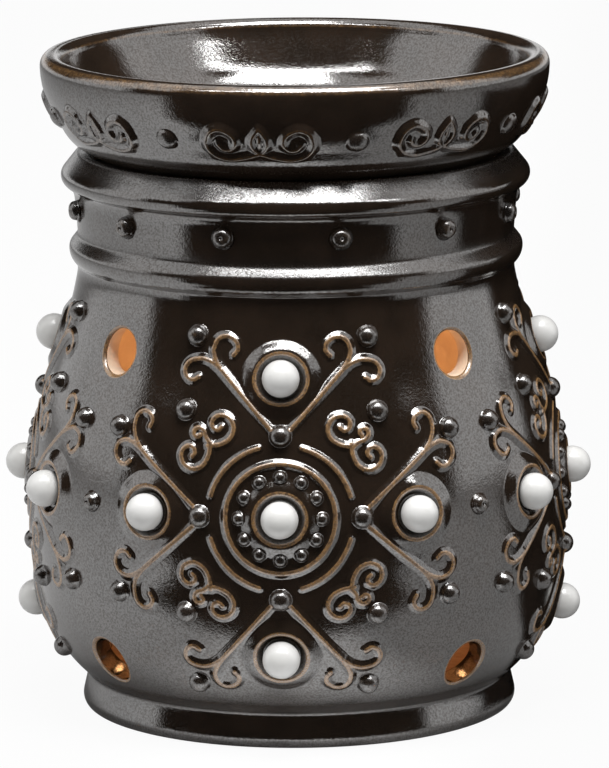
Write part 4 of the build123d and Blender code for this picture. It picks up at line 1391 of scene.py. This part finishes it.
def dark_card(name, points):
    """Dark card that only reflections see, from rows of points in millimetres."""
    rows = len(points) // FLAG_POINTS
    corners = [row * FLAG_POINTS + column for row in range(rows - 1) for column in range(FLAG_POINTS - 1)]
    faces = [(c, c + 1, c + FLAG_POINTS + 1, c + FLAG_POINTS) for c in corners]
    thing = piece(name, points, faces)
    made, _, shader = material(name)
    shader.inputs["Base Color"].default_value = rgb(0.004, 0.004, 0.004)
    shader.inputs["Roughness"].default_value = 1.0
    shader.inputs["Specular IOR Level"].default_value = 0.0
    thing.data.materials.append(made)
    thing.visible_camera = thing.visible_shadow = thing.visible_diffuse = False


def flag(name, azimuths, elevations, distance):
    """Dark card on a sphere about the object."""
    points = []
    for up in np.radians(np.linspace(*elevations, FLAG_POINTS)):
        level, height = distance * math.cos(up), distance * math.sin(up)
        points += [outward_at(angle) * level + (0, 0, height)
                   for angle in np.radians(np.linspace(*azimuths, FLAG_POINTS))]
    dark_card(name, np.array(points) / MM)


def floor_shadow_card(name, azimuths, reaches):
    """Dark card on the floor round part of the object: a painted shadow of the object, which only
    reflections see.
    """
    across = np.radians(np.linspace(*azimuths, FLAG_POINTS))
    level = (0, 0, FLOOR_SHADOW_HEIGHT)
    dark_card(name, [outward_at(angle) * reach + level for reach in reaches for angle in across])


def background_seen(tree):
    """1 for the rays that show the background: camera, glossy and transmission rays."""
    path = tree.nodes.new("ShaderNodeLightPath")
    shown = reckon(tree, "MAXIMUM", path.outputs["Is Camera Ray"], path.outputs["Is Glossy Ray"])
    return reckon(tree, "MAXIMUM", shown, path.outputs["Is Transmission Ray"])


def make_floor():
    """Pale floor, which the camera sees as almost pure white. Its colour, which reflections show, has
    painted shade to the right and painted light in a strip down the middle.
    """
    outline = FLOOR_RIGHT + FLOOR_LEFT
    floor = piece("floor", [(x, y, 0) for x, y in outline], [range(len(outline))])
    made, tree, shader = material("pale_floor")
    place = tree.nodes.new("ShaderNodeSeparateXYZ")
    tree.links.new(tree.nodes.new("ShaderNodeTexCoord").outputs["Object"], place.inputs[0])
    # Painted shade: the floor's colour darkens towards the right
    shade_rightward = eased(tree, place.outputs["X"], *FLOOR_SHADE_SPAN, 0.0, 1.0)
    sides = mixed(tree, shade_rightward, rgb(0.50, 0.50, 0.50), rgb(0.25, 0.25, 0.25))
    # Painted light: a paler strip down the middle, in front of the object
    middle = eased(tree, reckon(tree, "ABSOLUTE", place.outputs["X"]), *FLOOR_LIT_STRIP, 1.0, 0.0)
    tree.links.new(mixed(tree, middle, sides, rgb(0.70, 0.70, 0.70)), shader.inputs["Base Color"])
    shader.inputs["Roughness"].default_value = 0.9
    white = tree.nodes.new("ShaderNodeEmission")
    blend = tree.nodes.new("ShaderNodeMixShader")
    camera_ray = tree.nodes.new("ShaderNodeLightPath").outputs["Is Camera Ray"]
    tree.links.new(reckon(tree, "MULTIPLY", camera_ray, FLOOR_SHOWN_WHITE), blend.inputs[0])
    tree.links.new(shader.outputs[0], blend.inputs[1])
    tree.links.new(white.outputs[0], blend.inputs[2])
    tree.links.new(blend.outputs[0], tree.nodes["Material Output"].inputs["Surface"])
    floor.data.materials.append(made)


def make_surroundings():
    """White surroundings, which light the object at half of their shown brightness."""
    world = bpy.data.worlds.new("studio")
    world.use_nodes = True
    bpy.context.scene.world = world
    tree = world.node_tree
    back = tree.nodes["Background"]
    back.inputs["Color"].default_value = rgb(1, 1, 1)
    shown = reckon(tree, "MULTIPLY", background_seen(tree), 1 - WORLD_LIGHT)
    tree.links.new(reckon(tree, "ADD", WORLD_LIGHT, shown), back.inputs["Strength"])


def make_stage():
    """Floor, white surroundings, dark cards and soft lamps overhead."""
    make_floor()
    make_surroundings()
    for name, (azimuths, elevations, distance) in FLAGS.items():
        flag(name, azimuths, elevations, distance)
    # Painted shadow on the floor behind the object to the right
    floor_shadow_card("right_floor_flag", FLOOR_SHADOW_AZIMUTHS, FLOOR_SHADOW_REACHES)
    for name, (size, power, place) in OVERHEAD_LAMPS.items():
        lamp = bpy.data.lights.new(name, "AREA")
        lamp.shape, lamp.energy = "RECTANGLE", power
        lamp.size, lamp.size_y = size
        linked(name, lamp).location = place


def make_glow():
    """Warm light of the lit bulb inside the vessel."""
    lamp = bpy.data.lights.new("bulb_glow", "POINT")
    lamp.color, lamp.energy, lamp.shadow_soft_size = GLOW_COLOUR, GLOW_POWER, GLOW_RADIUS
    linked("bulb_glow", lamp).location = (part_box("filament")[0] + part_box("filament")[1]) / 2
    nodes["glass_globe"].visible_shadow = False


CAMERA_DISTANCE = 1.420
CAMERA_HEIGHT = 0.3507
CAMERA_AZIMUTH = 3.7
CAMERA_AIM = 0.0733
CAMERA_SHIFT = 0.0017
CAMERA_ROLL = -0.4
CAMERA_LENS = 297.8
CAMERA_SENSOR = 36.0


def make_camera():
    """Long lens at the photograph's angle."""
    data = bpy.data.cameras.new("camera")
    data.lens, data.sensor_width = CAMERA_LENS, CAMERA_SENSOR
    camera = linked("camera", data)
    angle = math.radians(CAMERA_AZIMUTH)
    right = Vector((math.cos(angle), math.sin(angle), 0))
    spot = Vector((CAMERA_DISTANCE * math.sin(angle), -CAMERA_DISTANCE * math.cos(angle), CAMERA_HEIGHT))
    aim = Vector((0, 0, CAMERA_AIM)) + right * CAMERA_SHIFT
    look = (aim - spot).to_track_quat("-Z", "Y").to_matrix().to_4x4()
    roll = Matrix.Rotation(math.radians(CAMERA_ROLL), 4, "Z")
    camera.matrix_world = Matrix.Translation(spot) @ look @ roll
    bpy.context.scene.camera = camera


bpy.context.scene.view_settings.view_transform = "Standard"
make_camera()
make_stage()
make_glow()
dress_lamp()

vessel = make_vessel()
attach(vessel, "vessel")
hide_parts("vessel", "vessel_base")
for thing in (make_hole_lips(), make_neck_beads(), make_between_beads()):
    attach(thing, "vessel")
medallions = make_medallions()
for thing in medallions:
    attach(thing, "vessel")
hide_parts("medallions")
pearls = make_pearls()
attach(pearls, "vessel")
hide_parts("pearls")
dish = make_dish()
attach(dish, "dish")
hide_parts("dish")
band = make_band()
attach(band, "dish")
